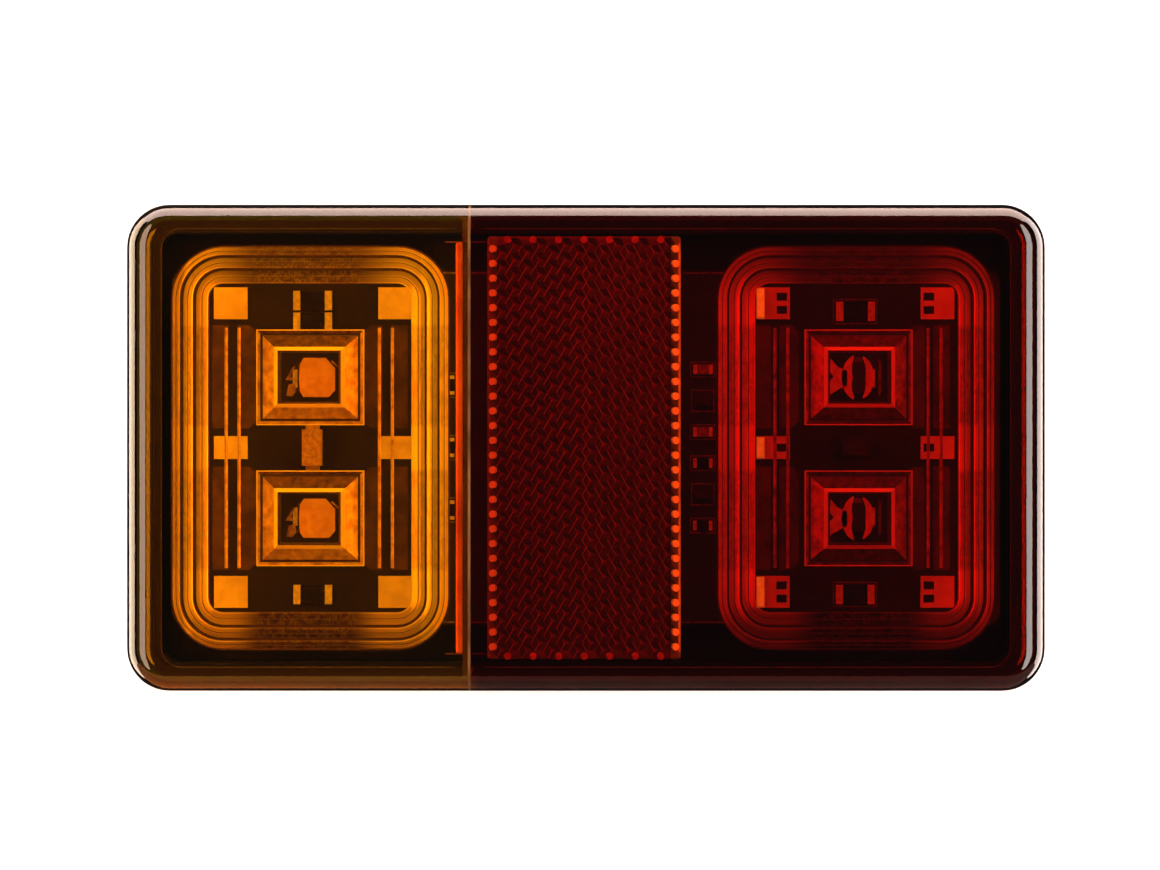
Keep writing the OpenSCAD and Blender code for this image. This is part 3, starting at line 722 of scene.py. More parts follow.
# Name, roughness, size of the patches in mm, dark and light tone, then the grain and the
# shader's own values
SURFACES = {
    # Black solder mask over copper: a shade browner and lighter than over the bare laminate
    "copper": ("Solder mask over copper", 0.4, 3, "#3a2a1c", "#5c452f", (1.0, 0.03, 0.4)),
    # Black glossy solder mask over laminate: near black, with a slightly uneven sheen
    "mask": ("Black solder mask on FR4 laminate", 0.35, 6, "#1b1815", "#25211d",
             (1.2, 0.03, 0.4)),
    # Black ABS from a spark-eroded tool: a fine satin grain with soft, wide highlights
    "abs": ("Black ABS, spark-eroded texture", 0.34, 12, "#050505", "#0b0b0b",
            (0.5, 0.03, 0.6)),
    # White reflective mask printed on copper: matt, slightly uneven, bright behind the lens
    "white": ("White reflective mask on copper", 0.55, 2.5, "#e6dccb", "#fbf6ec",
              (0.5, 0.02, 0.4)),
    # Reflowed solder under flux: wavy and slightly milky metal, with blurred highlights
    "tin": ("Reflowed solder tin", 0.5, 0.8, "#c3beb4", "#efece6", (0.4, 0.03, 0.6),
            {METAL: 0.25}),
    # Freshly reflowed solder fillet: a mirror with a soft edge, lit straight by the softbox
    "bead": ("Solder fillet", 0.5, 1.0, "#e8e4dc", "#ffffff", (0.8, 0.02, 0.3), {METAL: 1.0}),
    # Black glass glaze over an alumina chip: a hard, smooth sheen
    "glaze": ("Black glaze on alumina chip", 0.25, 0.7, "#121010", "#241f1c"),
    # Body of a ceramic capacitor: a warm, matt tan with a fine grain
    "ceramic": ("Fired ceramic, tan", 0.5, 0.6, "#6f5334", "#9a7750"),
    # Body of a tantalum capacitor: matt yellow epoxy
    "tantalum": ("Moulded yellow epoxy", 0.5, 0.6, "#a88448", "#d0b070"),
    # Transfer-moulded black epoxy: matt with a fine grit
    "epoxy": ("Moulded black epoxy", 0.55, 0.5, "#141414", "#242424", (0.15, 0.01, 0.5)),
    # Silicone over the dies, and painted glints round them: smooth, saturated and a little cloudy
    "amber_die": ("Amber phosphor in silicone", 0.2, 1.6, "#c89c74", "#dcb48c", None,
                  {COAT: 0.5}),
    "red_die": ("Red die in silicone, with painted highlights", 0.2, 1.6, "#c89080", "#f0c8b8", None, {COAT: 0.5}),
    "amber_glint": ("Painted glints round the phosphor", 0.2, 1.6, "#6a5040", "#a88c78", None,
                    {COAT: 0.5}),
    "red_glint": ("Painted glints round the red die", 0.2, 1.6, "#5a3c34", "#806058", None,
                  {COAT: 0.5}),
    # Bright zinc plate on steel: cool metal with a slight haze
    "zinc": ("Bright zinc plate on steel", 0.3, 1.5, "#a9adb3", "#d4d6d8", (0.3, 0.01, 0.4),
             {METAL: 1.0}),
    # Moulded EPDM rubber: dead matt black with a dusty bloom
    "rubber": ("Moulded EPDM rubber", 0.75, 2, "#131312", "#232221", (0.3, 0.02, 0.5)),
    # Fine printed lines on the mask: off-white ink, thin enough to let the mask show
    "ink": ("Printed line ink", 0.6, 0.8, "#4a443a", "#8a8273"),
    # Red PMMA lapped behind the amber: the weld leaves it milky, so it catches some light
    "lap": ("Red PMMA lap, milky", 0.25, 5, "#56381a", "#6c4820", None,
            {"IOR": 1.49, CLEAR: 0.75}),
}
# Name, dark and light tone, then the size of the streaks in mm, roughness and share of mirror
PRISMS = {
    # Faces of the light guides and flutes, and a darker copy with painted shade for those turned
    # away from the softboxes
    "amber_prism": ("Amber PMMA prism faces", "#a08058", "#e8d4b4"),
    "red_prism": ("Red PMMA prism faces", "#704a40", "#c8a89c"),
    "amber_lying": ("Amber PMMA prism faces in shade", "#42301a", "#7c6038", 1.2),
    "red_lying": ("Red PMMA prism faces in shade", "#3c2420", "#7c5048", 1.2),
    # Edges painted pale as highlights, and grooves painted dark as shade
    "amber_crest": ("Amber PMMA prism edges", "#fff8d8", "#ffffff", 4.0, 0.25, 0.2),
    "red_crest": ("Red PMMA prism edges", "#fff0e8", "#ffffff", 4.0, 0.25, 0.2),
    "amber_shade": ("Amber PMMA groove", "#30200c", "#4a3218", 1.5, 0.5, 0.0),
    "red_shade": ("Red PMMA groove", "#2a1814", "#402420", 1.5, 0.5, 0.0),
    # The reflector throws light back to where it comes from, so its cells are painted dark as
    # shade, and its cube edges pale as highlights, with a darker copy for those in shade
    "reflex": ("Red PMMA corner cubes", "#281a17", "#503530", 0.9, 0.3, 0.1),
    "reflex_border": ("Red PMMA block behind the cells", "#6a4038", "#8a5c50", 3.0, 0.3, 0.1),
    "reflex_fold": ("Red PMMA cube edges", "#a08078", "#d8c0b8", 2.0, 0.3, 0.1),
    "reflex_faint": ("Red PMMA cube edges in shade", "#7a4c44", "#9a6c64", 2.0, 0.3, 0.3),
    # Its border prisms are tilted towards the softbox on their own side, and painted pale as
    # highlights
    "reflex_left": ("Red PMMA border prisms", "#ffe8e0", "#ffffff", 2.0, 0.45, 0.3),
    "reflex_right": ("Red PMMA border prisms, lit", "#fff0d8", "#ffffff", 2.0, 0.5, 1.0),
    "reflex_ends": ("Red PMMA border prisms, top and bottom", "#b08878", "#e8c8bc",
                    2.0, 0.4, 0.0),
    # Rib and weld where the two colours meet: part of the light comes through the amber, and the
    # weld is painted pale as the highlight on the amber's edge
    "divider": ("Red PMMA rib behind amber", "#a03814", "#e87838", 7.0, 0.35, 0.2),
    "seam": ("Weld line of the two colours", "#704c2a", "#a87846", 6.0, 0.2, 0.0),
}
# Name, middle of the optic, dark and light tone, painted shades of the top and bottom, light
# that the streaks leave, and share of painted light on the inner steps
STEP_FACES = {
    "amber_steps": ("Amber PMMA steps", AMBER_X, "#44321c", "#fff0cc", (0.3, 0.0), 0.65, 0.66),
    "red_steps": ("Red PMMA steps", RED_X, "#2c1e1a", "#ffffff", (0.7, 0.6), 0.55, 0.72),
    "amber_edges": ("Amber PMMA step edges", AMBER_X, "#70542c", "#fffce8", (0.2, 0.0),
                    0.7, 1.0),
    "red_edges": ("Red PMMA step edges", RED_X, "#50342c", "#ffffff", (0.6, 0.5), 0.7, 1.0),
}


def make_materials(colours):
    """Fills MATS. The front of the red shell has painted highlights: it is paler over the
    reflector's border prisms, and over the solder at the left of the red optic, which shows a
    little nearer the middle."""
    MATS.update({key: surface(*values) for key, values in SURFACES.items()})
    MATS.update({key: prism_acrylic(*values) for key, values in PRISMS.items()})
    MATS.update({key: stepped_acrylic(*values) for key, values in STEP_FACES.items()})
    side, nearer = REFLEX_W / 2 - TIP_INSET, 0.972
    pale = [(REFLEX_X - side, 0, 0.65, REFLEX_H / 2, 0.24),
            (REFLEX_X + side, 0, 0.65, REFLEX_H / 2, 0.95)]
    pale += [(nearer * (low[0] + 0.7), nearer * (low[1] + high[1]) / 2, 0.5,
              (high[1] - low[1]) / 2 - 0.3, 1.0)
             for low, high in islands("heat_spreaders_red") if low[0] < RED_X]
    MATS["amber"] = clear_acrylic("Amber PMMA, polished", "#ffb005", colours.amber)
    MATS["red"] = clear_acrylic("Red PMMA front, polished, with painted highlights", "#bc1806", colours.red, pale,
                                "#ec7a24")


# Pieces


class TAILLIGHT_OT_lens(bpy.types.Operator):
    """Makes the shells of the two-colour lens, its seam, the lap, the divider and their lines"""
    bl_idname = "taillight.lens"
    bl_label = "Lens Shells"

    def execute(self, context):
        s = context.scene.taillight_sizes
        corner, edge, wall = s.corner / MM, s.edge / MM, s.wall / MM
        n = 12

        def arc(radius, steps):
            turns = [math.radians(90 * i / n) for i in steps]
            return [(edge - radius * math.cos(a), LENS_FRONT - edge + radius * math.sin(a))
                    for a in turns]

        outer = [(0, LENS_BACK), (0, LENS_FRONT - edge)] + arc(edge, range(1, n + 1))
        inner = arc(edge - wall, range(n, 0, -1))
        inner += [(wall, LENS_FRONT - edge), (wall, LENS_BACK)]
        front = rim_section(LAMP_W, LAMP_H, corner, outer)
        back = rim_section(LAMP_W, LAMP_H, corner, inner)
        points = [p for loop in front + back for p in loop]
        k = len(front[0])
        start, last = len(front) * k, len(points) - k
        faces = bridge(front) + [tuple(start + i for i in face) for face in bridge(back)]
        faces += [tuple(first + i for i in range(k)) for first in (start - k, start)]
        faces += [(i, (i + 1) % k, last + (i + 1) % k, last + i) for i in range(k)]
        # Half the width of the weld, and the gap between it and a shell
        weld, apart = 0.2, 0.02
        for name, mat, cuts, colour in (
                ("amber_shell", "amber", ((-weld - apart, 1),), "amber"),
                ("red_shell", "red", ((weld + apart, -1),), "red"),
                ("seam_line", "seam", ((-weld, -1), (weld, 1)), "red")):
            obj = outward(mesh_piece(name, points, faces, mat))
            for place, side in cuts:
                trim(obj, SEAM_X + place, side)
            settle_lens(soften(obj, 25), colour)
        lens_in = LENS_FRONT - wall
        # The lap lies behind the amber wall, and the divider is a deep rib beside it
        lap_half, rib_half = LAMP_H / 2 - wall - 0.4, LAMP_H / 2 - 6.35
        lap_t, rib_t, rib_back = 1.1, 1.1, 9
        lap = [((LAP_X + rib_t + GAP, -lap_half, lens_in - lap_t),
                (SEAM_X - 0.25, lap_half, lens_in - GAP))]
        settle_lens(boxes("red_lap", lap, "lap"), "red")
        rib = [((LAP_X, -rib_half, lens_in - rib_back),
                (LAP_X + rib_t, rib_half, lens_in - lap_t - GAP))]
        settle_lens(boxes("red_divider", rib, "divider", bevel=0.3), "red")
        # Fine lines from the ends of the divider to the reflector, and round the flat of the lens
        fine, line_t = 0.06, 0.12
        lines = [((LAP_X - 1.6, z - line_t / 2, lens_in - 0.2),
                  (REFLEX_LEFT, z + line_t / 2, lens_in - fine)) for z in (rib_half, -rib_half)]
        settle(boxes("divider_end_lines", lines, "seam"), "red_plastic", "red_lens")
        section = [(0, lens_in - fine), (line_t, lens_in - fine),
                   (line_t, lens_in - 0.3), (0, lens_in - 0.3)]
        flat, from_seam = (LAMP_W - 12, LAMP_H - 8.4, 3.2), 2.4
        for colour, keep in (("amber", 1), ("red", -1)):
            line = ring(colour + "_recess_line", flat, section, colour + "_shade")
            trim(line, SEAM_X - keep * from_seam, keep)
            settle(line, colour + "_plastic", colour + "_lens")
        return {"FINISHED"}


class TAILLIGHT_OT_steps(bpy.types.Operator):
    """Makes the stepped rings and the flutes of both optics"""
    bl_idname = "taillight.steps"
    bl_label = "Stepped Optics"

    def execute(self, context):
        s = context.scene.taillight_sizes
        size = s.optic_width / MM, s.optic_height / MM, s.optic_corner / MM
        lens_in = LENS_FRONT - s.wall / MM - GAP
        deep, shallow = s.step_depth / MM, 0.15
        # A step goes from its groove over a slope with a line in the middle up to its crest
        section, picks, inset = [], [], 0.0
        for step, groove in zip(STEPS, GROOVES):
            line = inset + groove + 0.5 * (step - groove - CREST)
            middle = lens_in - shallow - 0.5 * (deep - shallow)
            section += [(inset, lens_in - deep), (inset + groove, lens_in - deep),
                        (line - 0.1, middle - 0.1), (line, middle + 0.12),
                        (line + 0.1, middle), (inset + step - CREST, lens_in - shallow),
                        (inset + step, lens_in - 0.1)]
            # Grooves, steep walls and one side of the middle line take the painted shade; crests
            # and the line's other side take the pale edges, painted highlights
            picks += [1, 0, 2, 1, 0, 2, 1]
            inset += step
        section += [(inset, lens_in - deep - 0.3), (0, lens_in - deep - 0.3)]
        picks += [1, 1]
        flutes = pin_tree()
        for colour, cx in OPTICS:
            mats = [f"{colour}_{kind}" for kind in ("steps", "shade", "edges")]
            settle_lens(ring(colour + "_steps", size, section, mats, picks,
                             cx + SHIFTS[colour]["steps"], smooth=30), colour)
            for side, first in (("left", -14.2), ("right", 10.7)):
                start = at(cx + first + SHIFTS[colour]["flutes"], 0, lens_in - 0.4)
                lines = grow(f"{colour}_flutes_{side}", flutes, {
                    "Start": start, "Step": at(2.1, 0, 0), "Length": 39 * MM,
                    "Radius": 0.26 * MM}, colour + "_prism")
                settle_lens(lines, colour)
        return {"FINISHED"}


class TAILLIGHT_OT_guides(bpy.types.Operator):
    """Makes the four light guide frames with their bevels"""
    bl_idname = "taillight.guides"
    bl_label = "Light Guides"

    def execute(self, context):
        s = context.scene.taillight_sizes
        w, h = s.guide_width / MM, s.guide_height / MM
        wide = (w - s.window_width / MM) / 2
        top = LENS_FRONT - s.wall / MM - GAP
        # The frame's flat border, then the bevel down to the window, as (inset, depth) points
        border = 1.1
        section = [(0, 3.4), (0, 2.4), (0.18, 2.4), (0.62, 2.5), (0.7, 3.0), (0.9, 3.0),
                   (1.05, 2.6), (wide - 1.0, 1.2), (wide - 0.35, 0.6), (wide, 0.7), (wide, 3.4)]
        # Faces take the prism (0), a fold painted dark as shade (1) or an edge painted pale as a
        # highlight (2)
        picks = [0, 2, 0, 1, 1, 1, 0, 2, 1, 1, 1]
        narrowing = (h / 2 - border - s.window_height / MM / 2) / (wide - border)
        # The top bevel lies in shade, and in the red optic the bottom one too
        for (colour, cx), shaded in zip(OPTICS, ((0,), (0, 2))):
            mats = [f"{colour}_{kind}" for kind in ("prism", "shade", "crest", "lying")]
            for level, cz in (("upper", GUIDE_Z), ("lower", -GUIDE_Z)):
                loops = []
                for inset, depth in section:
                    x, z = w / 2 - inset, h / 2 - inset
                    if inset > border:
                        z = h / 2 - border - (inset - border) * narrowing
                    loops.append([at(cx + SHIFTS[colour]["guides"] + a * x, cz + b * z,
                                     top - depth)
                                  for a, b in ((1, 1), (-1, 1), (-1, -1), (1, -1))])
                chosen = [3 if pick == 0 and i in shaded else pick
                          for pick in picks for i in range(4)]
                guide = outward(mesh_piece(f"{colour}_guide_{level}", sum(loops, []),
                                           bridge(loops, True), mats, chosen))
                settle_lens(guide, colour)
        return {"FINISHED"}


class TAILLIGHT_OT_reflector(bpy.types.Operator):
    """Makes the reflex reflector: corner cubes, their edges and the border prisms"""
    bl_idname = "taillight.reflector"
    bl_label = "Reflex Reflector"

    def execute(self, context):
        cell = context.scene.taillight_sizes.cell
        flats = cell / MM
        pitch = flats * math.cos(math.radians(30))
        half_w, half_h = REFLEX_W / 2, REFLEX_H / 2
        place = at(REFLEX_X, 0, REFLEX_BACK + 0.1)
        cells = grow("reflex_cells", cell_tree(), {
            "Columns": int((REFLEX_W - 2 * flats / math.sqrt(3)) / pitch) + 1,
            "Rows": int((REFLEX_H - 1.5 * flats) / flats) + 1,
            "Across flats": cell, "Place": place}, "reflex")
        ridge = ridge_tree()
        tips_y = place.y - 2 * flats * MM / math.sqrt(6)
        # The folds that rise towards the middle line are painted pale as highlights, and those
        # that fall darker as shade
        folds = [grow(name, ridge, {
            "Sheet": cells, "Radius": radius * MM, "Middle": REFLEX_X * MM, "Lean": lean,
            "Front": tips_y}, mat) for name, radius, lean, mat in (
                ("reflex_folds", 0.07, 1.0, "reflex_fold"),
                ("reflex_folds_faint", 0.05, -1.0, "reflex_faint"))]
        back = boxes("reflex_border", [
            ((REFLEX_LEFT, -half_h, REFLEX_BACK - 0.5),
             (REFLEX_RIGHT, half_h, REFLEX_BACK + 0.6))], "reflex_border", bevel=0.5)
        for piece in [cells, back] + folds:
            settle_clear(piece, "reflector_plastic", "reflex_reflector")
        # Rows of border prisms: those at the sides a cell apart, the others two columns apart.
        # Each is a pin as long as its radius.
        pins, depth, double, tip = pin_tree(), REFLEX_BACK + 1.5, 2 * pitch, 0.6
        tall = int((REFLEX_H - 2.4) / flats) + 1
        wide = int((REFLEX_W - 4) / double) + 1
        rows = [(f"reflex_tips_{name}", tall, at(REFLEX_X + side * (half_w - TIP_INSET),
                                                 -(tall - 1) * flats / 2, depth),
                 at(0, flats, 0), side * 27.0, f"reflex_{name}")
                for name, side in (("left", -1), ("right", 1))]
        rows += [(f"reflex_tips_{name}", wide, at(REFLEX_X - (wide - 1) * pitch,
                                                  side * (half_h - 0.6), depth),
                  at(double, 0, 0), 0.0, "reflex_ends")
                 for name, side in (("top", 1), ("bottom", -1))]
        for name, count, start, step, tilt, mat in rows:
            row = grow(name, pins, {
                "Count": count, "Start": start, "Step": step, "Radius": tip * MM,
                "Length": tip * MM, "Sides": 12,
                "Turn": (math.radians(90), 0, math.radians(tilt))}, mat)
            settle(row, "reflector_plastic", "reflex_reflector")
        bar_half, bar_in = half_h - 1.2, 0.4
        bars = boxes("reflex_side_bars", [
            ((a, -bar_half, depth - 0.6), (b, bar_half, depth))
            for a, b in ((REFLEX_LEFT + GAP, REFLEX_LEFT + bar_in),
                         (REFLEX_RIGHT - bar_in, REFLEX_RIGHT - GAP))],
            ("reflex_border", "reflex_ends"), [0, 1], bevel=0.1)
        settle(bars, "reflector_plastic", "reflex_reflector")
        return {"FINISHED"}


class TAILLIGHT_OT_board(bpy.types.Operator):
    """Finishes the board: mask, printed lines, masked copper, solder wedges and pads"""
    bl_idname = "taillight.board"
    bl_label = "Circuit Board"

    def execute(self, context):
        repaint("mask", "circuit_board")
        repaint("white", "heat_spreaders_amber", "heat_spreaders_red")
        repaint("tin", "wire_terminals")
        (x0, x1), (z0, z1) = span("circuit_board", 0), span("circuit_board", 2)
        strips = [((x0 + 2, z, BOARD_FRONT), (x1 - 2, z + LINE, BOARD_FRONT + INK))
                  for z in (z0 + 0.3, z1 - 0.3 - LINE)]
        settle(boxes("board_edge_line", strips, "ink"), "board_laminate")
        outlines = []
        for node in ("transistors", "capacitors", "small_resistors", "resistors_red"):
            for lo, hi in islands(node):
                outlines += outline_strips(lo, hi)
        settle(boxes("printed_outlines", outlines, "ink"), "board_laminate")
        # Two strips of masked copper on each side of a source, the inner one with cut corners
        areas, near, far = [], 3.2, 20.4
        for _, cx in OPTICS:
            for sx in (-1, 1):
                for sz in (-1, 1):
                    for a, b, cut in ((8.9, 12.1, 1.2), (13.5, 16.3, 0.0)):
                        shape = [(a + cut, far), (b, far), (b, near), (a + cut, near)]
                        if cut:
                            shape += [(a, near + cut), (a, far - cut)]
                        areas.append([(cx - 0.5 + sx * x, sz * z) for x, z in shape])
        settle(plate("mask_over_copper", areas, BOARD_FRONT, 0.03, "copper"), "board_laminate")
        # A wedge of solder on each left spreader, as (across, height), that slopes to the left
        slope, from_ends = ((0.1, 0), (1.3, 0), (1.3, 0.63)), 0.3
        # Masked pads near the inner side of a spreader: two on a tall one and one on a low one
        pad_w, pad_half, pad_t, pad_in, tall = 1.7, 0.65, 0.05, 0.5, 4.5
        points, faces, marks = [], [], []
        for low, high in islands("heat_spreaders_red"):
            left = low[0] < RED_X
            if left:
                k = len(points)
                points += [at(low[0] + x, z, high[2] + d)
                           for z in (low[1] + from_ends, high[1] - from_ends) for x, d in slope]
                faces += [tuple(k + i for i in f) for f in (
                    (0, 1, 2), (5, 4, 3), (0, 3, 4, 1), (1, 4, 5, 2), (2, 5, 3, 0))]
            inner = high[0] - pad_in - pad_w if left else low[0] + pad_in
            for level in ((-1.1, 1.1) if high[1] - low[1] > tall else (0,)):
                middle = (low[1] + high[1]) / 2 + level
                marks.append(((inner, middle - pad_half, high[2]),
                              (inner + pad_w, middle + pad_half, high[2] + pad_t)))
        settle(outward(mesh_piece("solder_wedges", points, faces, "bead")), "tin")
        settle(boxes("masked_pads", marks, "mask"), "board_laminate")
        return {"FINISHED"}


# What shows in a window: outlines from its middle, and the material of each, 0 for the die in
# its silicone and 1 for a painted glint round it. The red one's two crescents are painted
# highlights on the round lens over its die
VIEWS = {
    "amber": ([
        [(-2.3, -3.2), (1.9, -3.2), (2.9, -2.1), (2.9, 1.5), (1.4, 3.2), (-2.2, 3.2),
         (-2.85, 2.2), (-3.0, 0.0), (-2.85, -2.3)],
        [(-5.2, -0.4), (-4.0, 1.7), (-3.6, 1.9), (-4.3, 0.2), (-3.7, -0.5)],
        [(-5.1, -3.0), (-4.7, -1.2), (-3.7, -0.9), (-3.4, -2.2), (-4.1, -3.1)],
        [(2.2, 2.6), (3.3, 1.6), (3.5, 1.8), (2.4, 2.8)]], (0, 1, 1, 1)),
    "red": ([
        crescent(0.1, 1.2, 2.6, -72, 72), crescent(0.1, 0.9, 2.7, 106, 254),
        [(-1.7, 1.1), (-3.2, 1.7), (-4.4, 3.1), (-4.5, 0.9), (-3.9, 0.1), (-4.6, -0.6),
         (-4.6, -2.9), (-3.0, -1.9), (-1.7, -1.3)],
        [(-0.5, 2.5), (0.7, 2.5), (0.5, 3.3), (-0.3, 3.3)],
        [(3.4, -3.0), (3.9, -2.4), (3.9, 2.4), (3.4, 3.0)]], (0, 0, 0, 1, 1)),
}


class TAILLIGHT_OT_sources(bpy.types.Operator):
    """Makes the four light sources behind the windows"""
    bl_idname = "taillight.sources"
    bl_label = "Light Sources"

    def execute(self, context):
        # The view of a source lies close behind its window, and the source has a square case
        deep, half = LENS_FRONT - context.scene.taillight_sizes.wall / MM - 3.2, 2.5
        for colour, cx in OPTICS:
            shapes, picks = VIEWS[colour]
            mid = cx + SHIFTS[colour]["view"]
            for level, cz in (("upper", GUIDE_Z), ("lower", -GUIDE_Z)):
                node = f"led_{colour}_{level}"
                (x0, x1), (z0, z1) = span(node, 0), span(node, 2)
                body = boxes(node + "_body", [
                    ((x0, z0 + 1, BOARD_FRONT), (x1, z1 - 1, BOARD_FRONT + 0.4)),
                    ((cx - half, cz - half, BOARD_FRONT),
                     (cx + half, cz + half, BOARD_FRONT + 1.0))],
                    ("tin", "epoxy"), [0, 1], bevel=0.08)
                view = plate(node + "_in_window",
                             [[(mid + x, cz + z) for x, z in shape] for shape in shapes],
                             deep, 0.12, (colour + "_die", colour + "_glint"), picks)
                for piece in (body, view):
                    settle(piece, colour + "_source", node)
        return {"FINISHED"}


class TAILLIGHT_OT_components(bpy.types.Operator):
    """Finishes the chips, diodes, transistors and capacitors"""
    bl_idname = "taillight.components"
    bl_label = "Components"

    def execute(self, context):
        repaint("epoxy", "centre_diode", "transistors", "reverse_diode")
        repaint("tantalum", "centre_capacitor")
        for node, body, slot in (("resistors_amber", "glaze", "chip_ceramic"),
                                 ("resistors_red", "glaze", "chip_ceramic"),
                                 ("small_resistors", "glaze", "chip_ceramic"),
                                 ("capacitors", "ceramic", "capacitor_ceramic")):
            parts, picks = [], []
            for lo, hi in islands(node):
                # A body between two tinned caps, along the longer side
                along = 0 if hi[0] - lo[0] > hi[1] - lo[1] else 1
                ends = lo[along], hi[along]
                cap = 0.18 * (ends[1] - ends[0])
                for start, end, pick in ((ends[0] + cap, ends[1] - cap, 0),
                                         (ends[0], ends[0] + cap, 1),
                                         (ends[1] - cap, ends[1], 1)):
                    a, b = list(lo), list(hi)
                    a[along], b[along] = start, end
                    parts.append((a, b))
                    picks.append(pick)
            settle(boxes(node + "_chips", parts, (body, "tin"), picks, bevel=0.06), slot, node)
        return {"FINISHED"}


class TAILLIGHT_OT_hardware(bpy.types.Operator):
    """Finishes the base, studs, screws and grommet"""
    bl_idname = "taillight.hardware"
    bl_label = "Base and Hardware"

    def execute(self, context):
        repaint("abs", "base_housing")
        repaint("rubber", "cable_grommet")
        repaint("zinc", "board_screws")
        low, tip = span("mounting_studs", 1)
        # M5: pitch and radius of the thread, radius of its root and of the collar under the head,
        # and corner radius of the 8 mm hexagon
        head, pitch, radius = -low, 0.8, 2.5
        root, collar, corner = radius - 0.42, radius + 0.4, 8 / 2 / math.cos(math.radians(30))
        places = sorted((lo[0] + hi[0]) / 2 for lo, hi in islands("mounting_studs"))
        pieces = [grow("stud_threads", thread_tree(), {
            "Studs": len(places), "Start": at(places[0], 0, -0.6),
            "Step": at(places[-1] - places[0], 0, 0), "Turns": int((tip - 1.6) / pitch),
            "Pitch": pitch * MM, "Radius": radius * MM}, "zinc")]
        for side, x in zip(("left", "right"), places):
            pieces.append(turned(f"stud_shank_{side}", x, [
                (-tip, radius - 0.8), (-tip + 0.6, root), (-0.3, root), (0.0, radius),
                (2.4, collar), (head - 3.6, collar)], "zinc"))
            pieces.append(turned(f"stud_head_{side}", x, [
                (head - 3.5, corner), (head - 0.35, corner), (head, corner - 0.6)],
                "zinc", sides=6, smooth=0))
        for piece in pieces:
            settle(piece, "zinc_steel", "mounting_studs")
        return {"FINISHED"}


# Stage

# Size of the photograph, centre of the lamp in it and its scale at the widest part of the lens
PHOTO_W, PHOTO_H = 1160, 870
LAMP_PX, LAMP_PY, PX_PER_MM = 585.9, 447.8, 6.113
# Distance of the camera from the lens, and of the widest part behind the front
CAMERA_AWAY, WIDEST = 430.0, 5.0
# Distance and angle of the softboxes from the line of sight, and radius of the sweep's bend
BOX_AWAY, BOX_ANGLE, BEND = 0.6, math.radians(55.5), 0.35


def area_light(name, place, target, size, power, tint):
    """A soft rectangular lamp that looks at a target."""
    data = bpy.data.lights.new(name, "AREA")
    data.shape = "RECTANGLE"
    data.size, data.size_y = size
    data.energy, data.color = power, linear(tint)[:3]
    obj = bpy.data.objects.new(name, data)
    obj.location = place
    obj.rotation_euler = (Vector(target) - Vector(place)).to_track_quat("-Z", "Y").to_euler()
    bpy.context.collection.objects.link(obj)
    return obj


def make_sweep(floor_z):
    """The white paper sweep. It stands in for a cut-out ground, so that only the softboxes show
    in the plastic."""
    MATS["paper"], tree, bsdf, place = material("White paper sweep", 0.7)
    tree.links.new(mottle(tree, place, 500, "#f8f8f8", "#ffffff"), bsdf.inputs["Base Color"])
    bsdf.inputs["Emission Color"].default_value = (1, 1, 1, 1)
    bsdf.inputs["Emission Strength"].default_value = 0.55
    turns = [math.radians(a) for a in range(0, 91, 6)]
    line = [(-1.2, floor_z)]
    line += [(0.5 + BEND * math.sin(a), floor_z + BEND * (1 - math.cos(a))) for a in turns]
    line += [(0.5 + BEND, 2.5)]
    points = [(x, y, z) for y, z in line for x in (-3, 3)]
    faces = [(2 * k, 2 * k + 1, 2 * k + 3, 2 * k + 2) for k in range(len(line) - 1)]
    sweep = mesh_piece("paper_sweep", points, faces, "paper", smooth=60)
    sweep.visible_glossy = sweep.visible_diffuse = sweep.visible_transmission = False


def make_card(floor_z):
    """A glowing card strip under the lens, a dim lamp that shows only in reflections in its lower
    edge. It glows lighter and more orange under the amber half than under the red one."""
    MATS["card"], tree, bsdf, place = material("Brown card strip", 0.7)
    amber_side = mottle(tree, place, 8, "#ff9448", "#ffa456")
    red_side = mottle(tree, place, 8, "#85605a", "#916a62")
    across = add(tree, SPLIT, (place,)).outputs["X"]
    side = add(tree, RAMP, (across, (SEAM_X - 2) * MM, (SEAM_X + 2) * MM), **SOFT)
    halves = add(tree, "ShaderNodeMix", {"Factor": side, 6: amber_side, 7: red_side},
                 **COLOURS).outputs[2]
    for socket in ("Base Color", "Emission Color"):
        tree.links.new(halves, bsdf.inputs[socket])
    bsdf.inputs["Emission Strength"].default_value = 0.7
    corners = ((-0.55, -0.0292), (0.55, -0.0292), (0.55, -0.025), (-0.55, -0.025))
    card = mesh_piece("bounce_card", [(x * LAMP_W * MM, y, floor_z + 0.00005)
                                      for x, y in corners], [(0, 1, 2, 3)], "card")
    card.visible_camera = card.visible_diffuse = False
    card.visible_transmission = card.visible_shadow = False


def make_lights():
    """Two softboxes beside the camera, two strips beside the lamp and a softbox over it."""
    centre = Vector((0, -LENS_FRONT * MM, 0))
    for name, side, power, tint, warm in (("left", -1, 16.0, "#ffdabc", "#ffd4ba"),
                                          ("right", 1, 14.4, "#ffe8e0", "#fff4ec")):
        place = centre + Vector((side * BOX_AWAY * math.sin(BOX_ANGLE),
                                 -BOX_AWAY * math.cos(BOX_ANGLE), 0.02))
        box = area_light(name + "_softbox", place, centre, (0.24, 1.0), 5.0, warm)
        box.data.shape = "ELLIPSE"
        strip = area_light(name + "_strip", (side * 0.6, 0.16, 0.0), (0, 0.16, 0.0),
                           (0.4, 1.2), power, tint)
        # The clear walls would pipe the strips round the rim of the lens
        strip.visible_transmission = False
    top = area_light("top_softbox", (0, 0.065, 0.6), (0, 0.065, 0), (1.2, 0.47), 17.6, "#ffdacc")
    top.visible_diffuse = top.visible_transmission = False


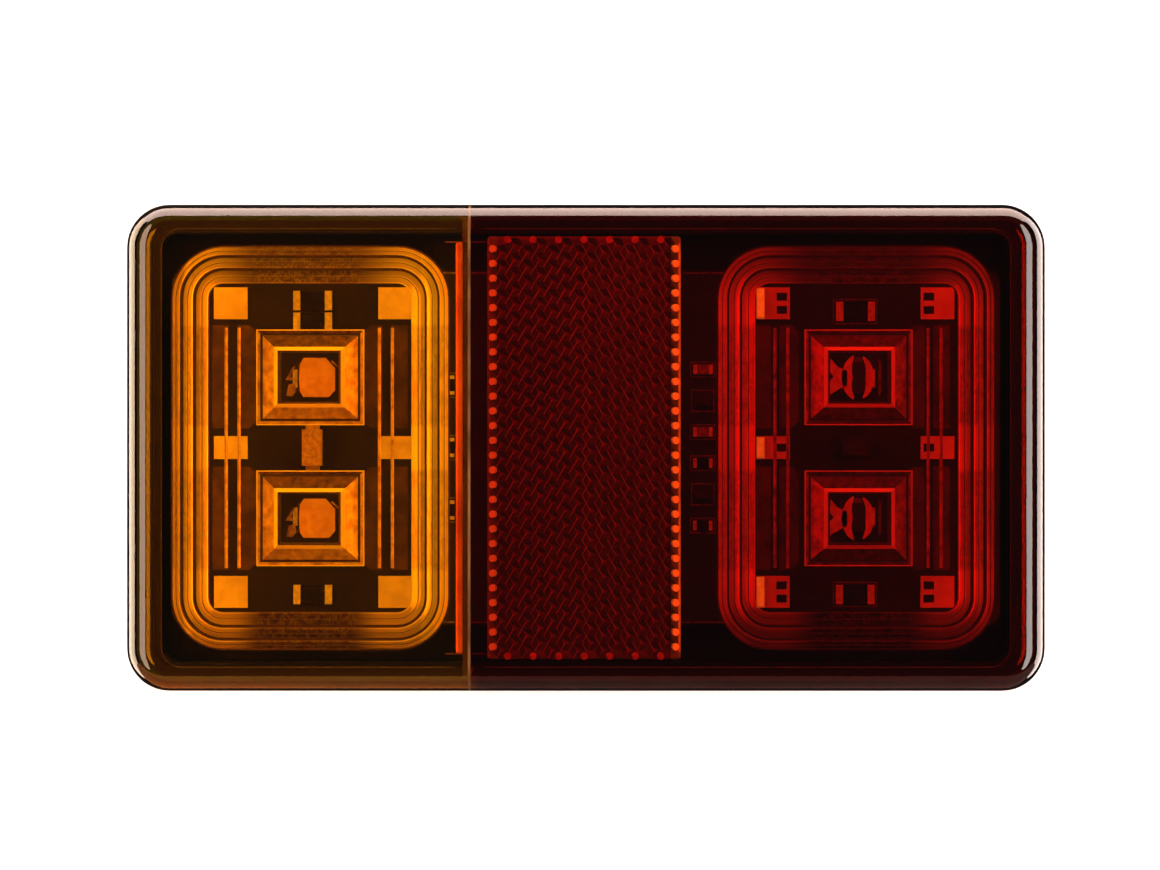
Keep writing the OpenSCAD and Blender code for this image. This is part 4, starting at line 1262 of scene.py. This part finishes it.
def make_camera(scene):
    """The camera, straight in front, with the photograph's frame."""
    camera = bpy.data.cameras.new("camera")
    camera.sensor_width = 36.0
    camera.lens = PX_PER_MM * (CAMERA_AWAY + WIDEST) / PHOTO_W * camera.sensor_width
    camera.clip_start = 0.01
    obj = bpy.data.objects.new("camera", camera)
    obj.location = at((PHOTO_W / 2 - LAMP_PX) / PX_PER_MM, (LAMP_PY - PHOTO_H / 2) / PX_PER_MM,
                      LENS_FRONT + CAMERA_AWAY)
    obj.rotation_euler = (math.radians(90), 0, 0)
    bpy.context.collection.objects.link(obj)
    scene.camera = obj


class TAILLIGHT_OT_stage(bpy.types.Operator):
    """Sets the floor, backdrop, lights and camera"""
    bl_idname = "taillight.stage"
    bl_label = "Stage and Camera"

    def execute(self, context):
        scene = context.scene
        scene.view_settings.view_transform = "Standard"
        world = bpy.data.worlds.new("Studio")
        world.use_nodes = True
        ground = world.node_tree.nodes["Background"].inputs
        ground["Color"].default_value = linear("#ffffff")
        ground["Strength"].default_value = 0.04
        scene.world = world
        floor_z = -LAMP_H / 2 * MM
        make_sweep(floor_z)
        make_lights()
        make_card(floor_z)
        make_camera(scene)
        return {"FINISHED"}


OPERATORS = (
    TAILLIGHT_OT_lens, TAILLIGHT_OT_steps, TAILLIGHT_OT_guides, TAILLIGHT_OT_reflector,
    TAILLIGHT_OT_board, TAILLIGHT_OT_sources, TAILLIGHT_OT_components, TAILLIGHT_OT_hardware,
    TAILLIGHT_OT_stage,
)


class TAILLIGHT_PT_panel(bpy.types.Panel):
    """Sizes, colours and steps of the tail light"""
    bl_label = "Tail Light"
    bl_idname = "TAILLIGHT_PT_panel"
    bl_space_type = "VIEW_3D"
    bl_region_type = "UI"
    bl_category = "Tail Light"

    def draw(self, context):
        for group in (context.scene.taillight_sizes, context.scene.taillight_colours):
            for key in group.__annotations__:
                self.layout.prop(group, key)
        for step in OPERATORS:
            self.layout.operator(step.bl_idname)


CLASSES = (TailLightSizes, TailLightColours) + OPERATORS + (TAILLIGHT_PT_panel,)


def register():
    for one in CLASSES:
        bpy.utils.register_class(one)
    bpy.types.Scene.taillight_sizes = bpy.props.PointerProperty(type=TailLightSizes)
    bpy.types.Scene.taillight_colours = bpy.props.PointerProperty(type=TailLightColours)


def unregister():
    del bpy.types.Scene.taillight_colours
    del bpy.types.Scene.taillight_sizes
    for one in reversed(CLASSES):
        bpy.utils.unregister_class(one)


def main():
    register()
    make_materials(bpy.context.scene.taillight_colours)
    for step in OPERATORS:
        group, call = step.bl_idname.split(".")
        getattr(getattr(bpy.ops, group), call)()


if __name__ == "__main__":
    main()
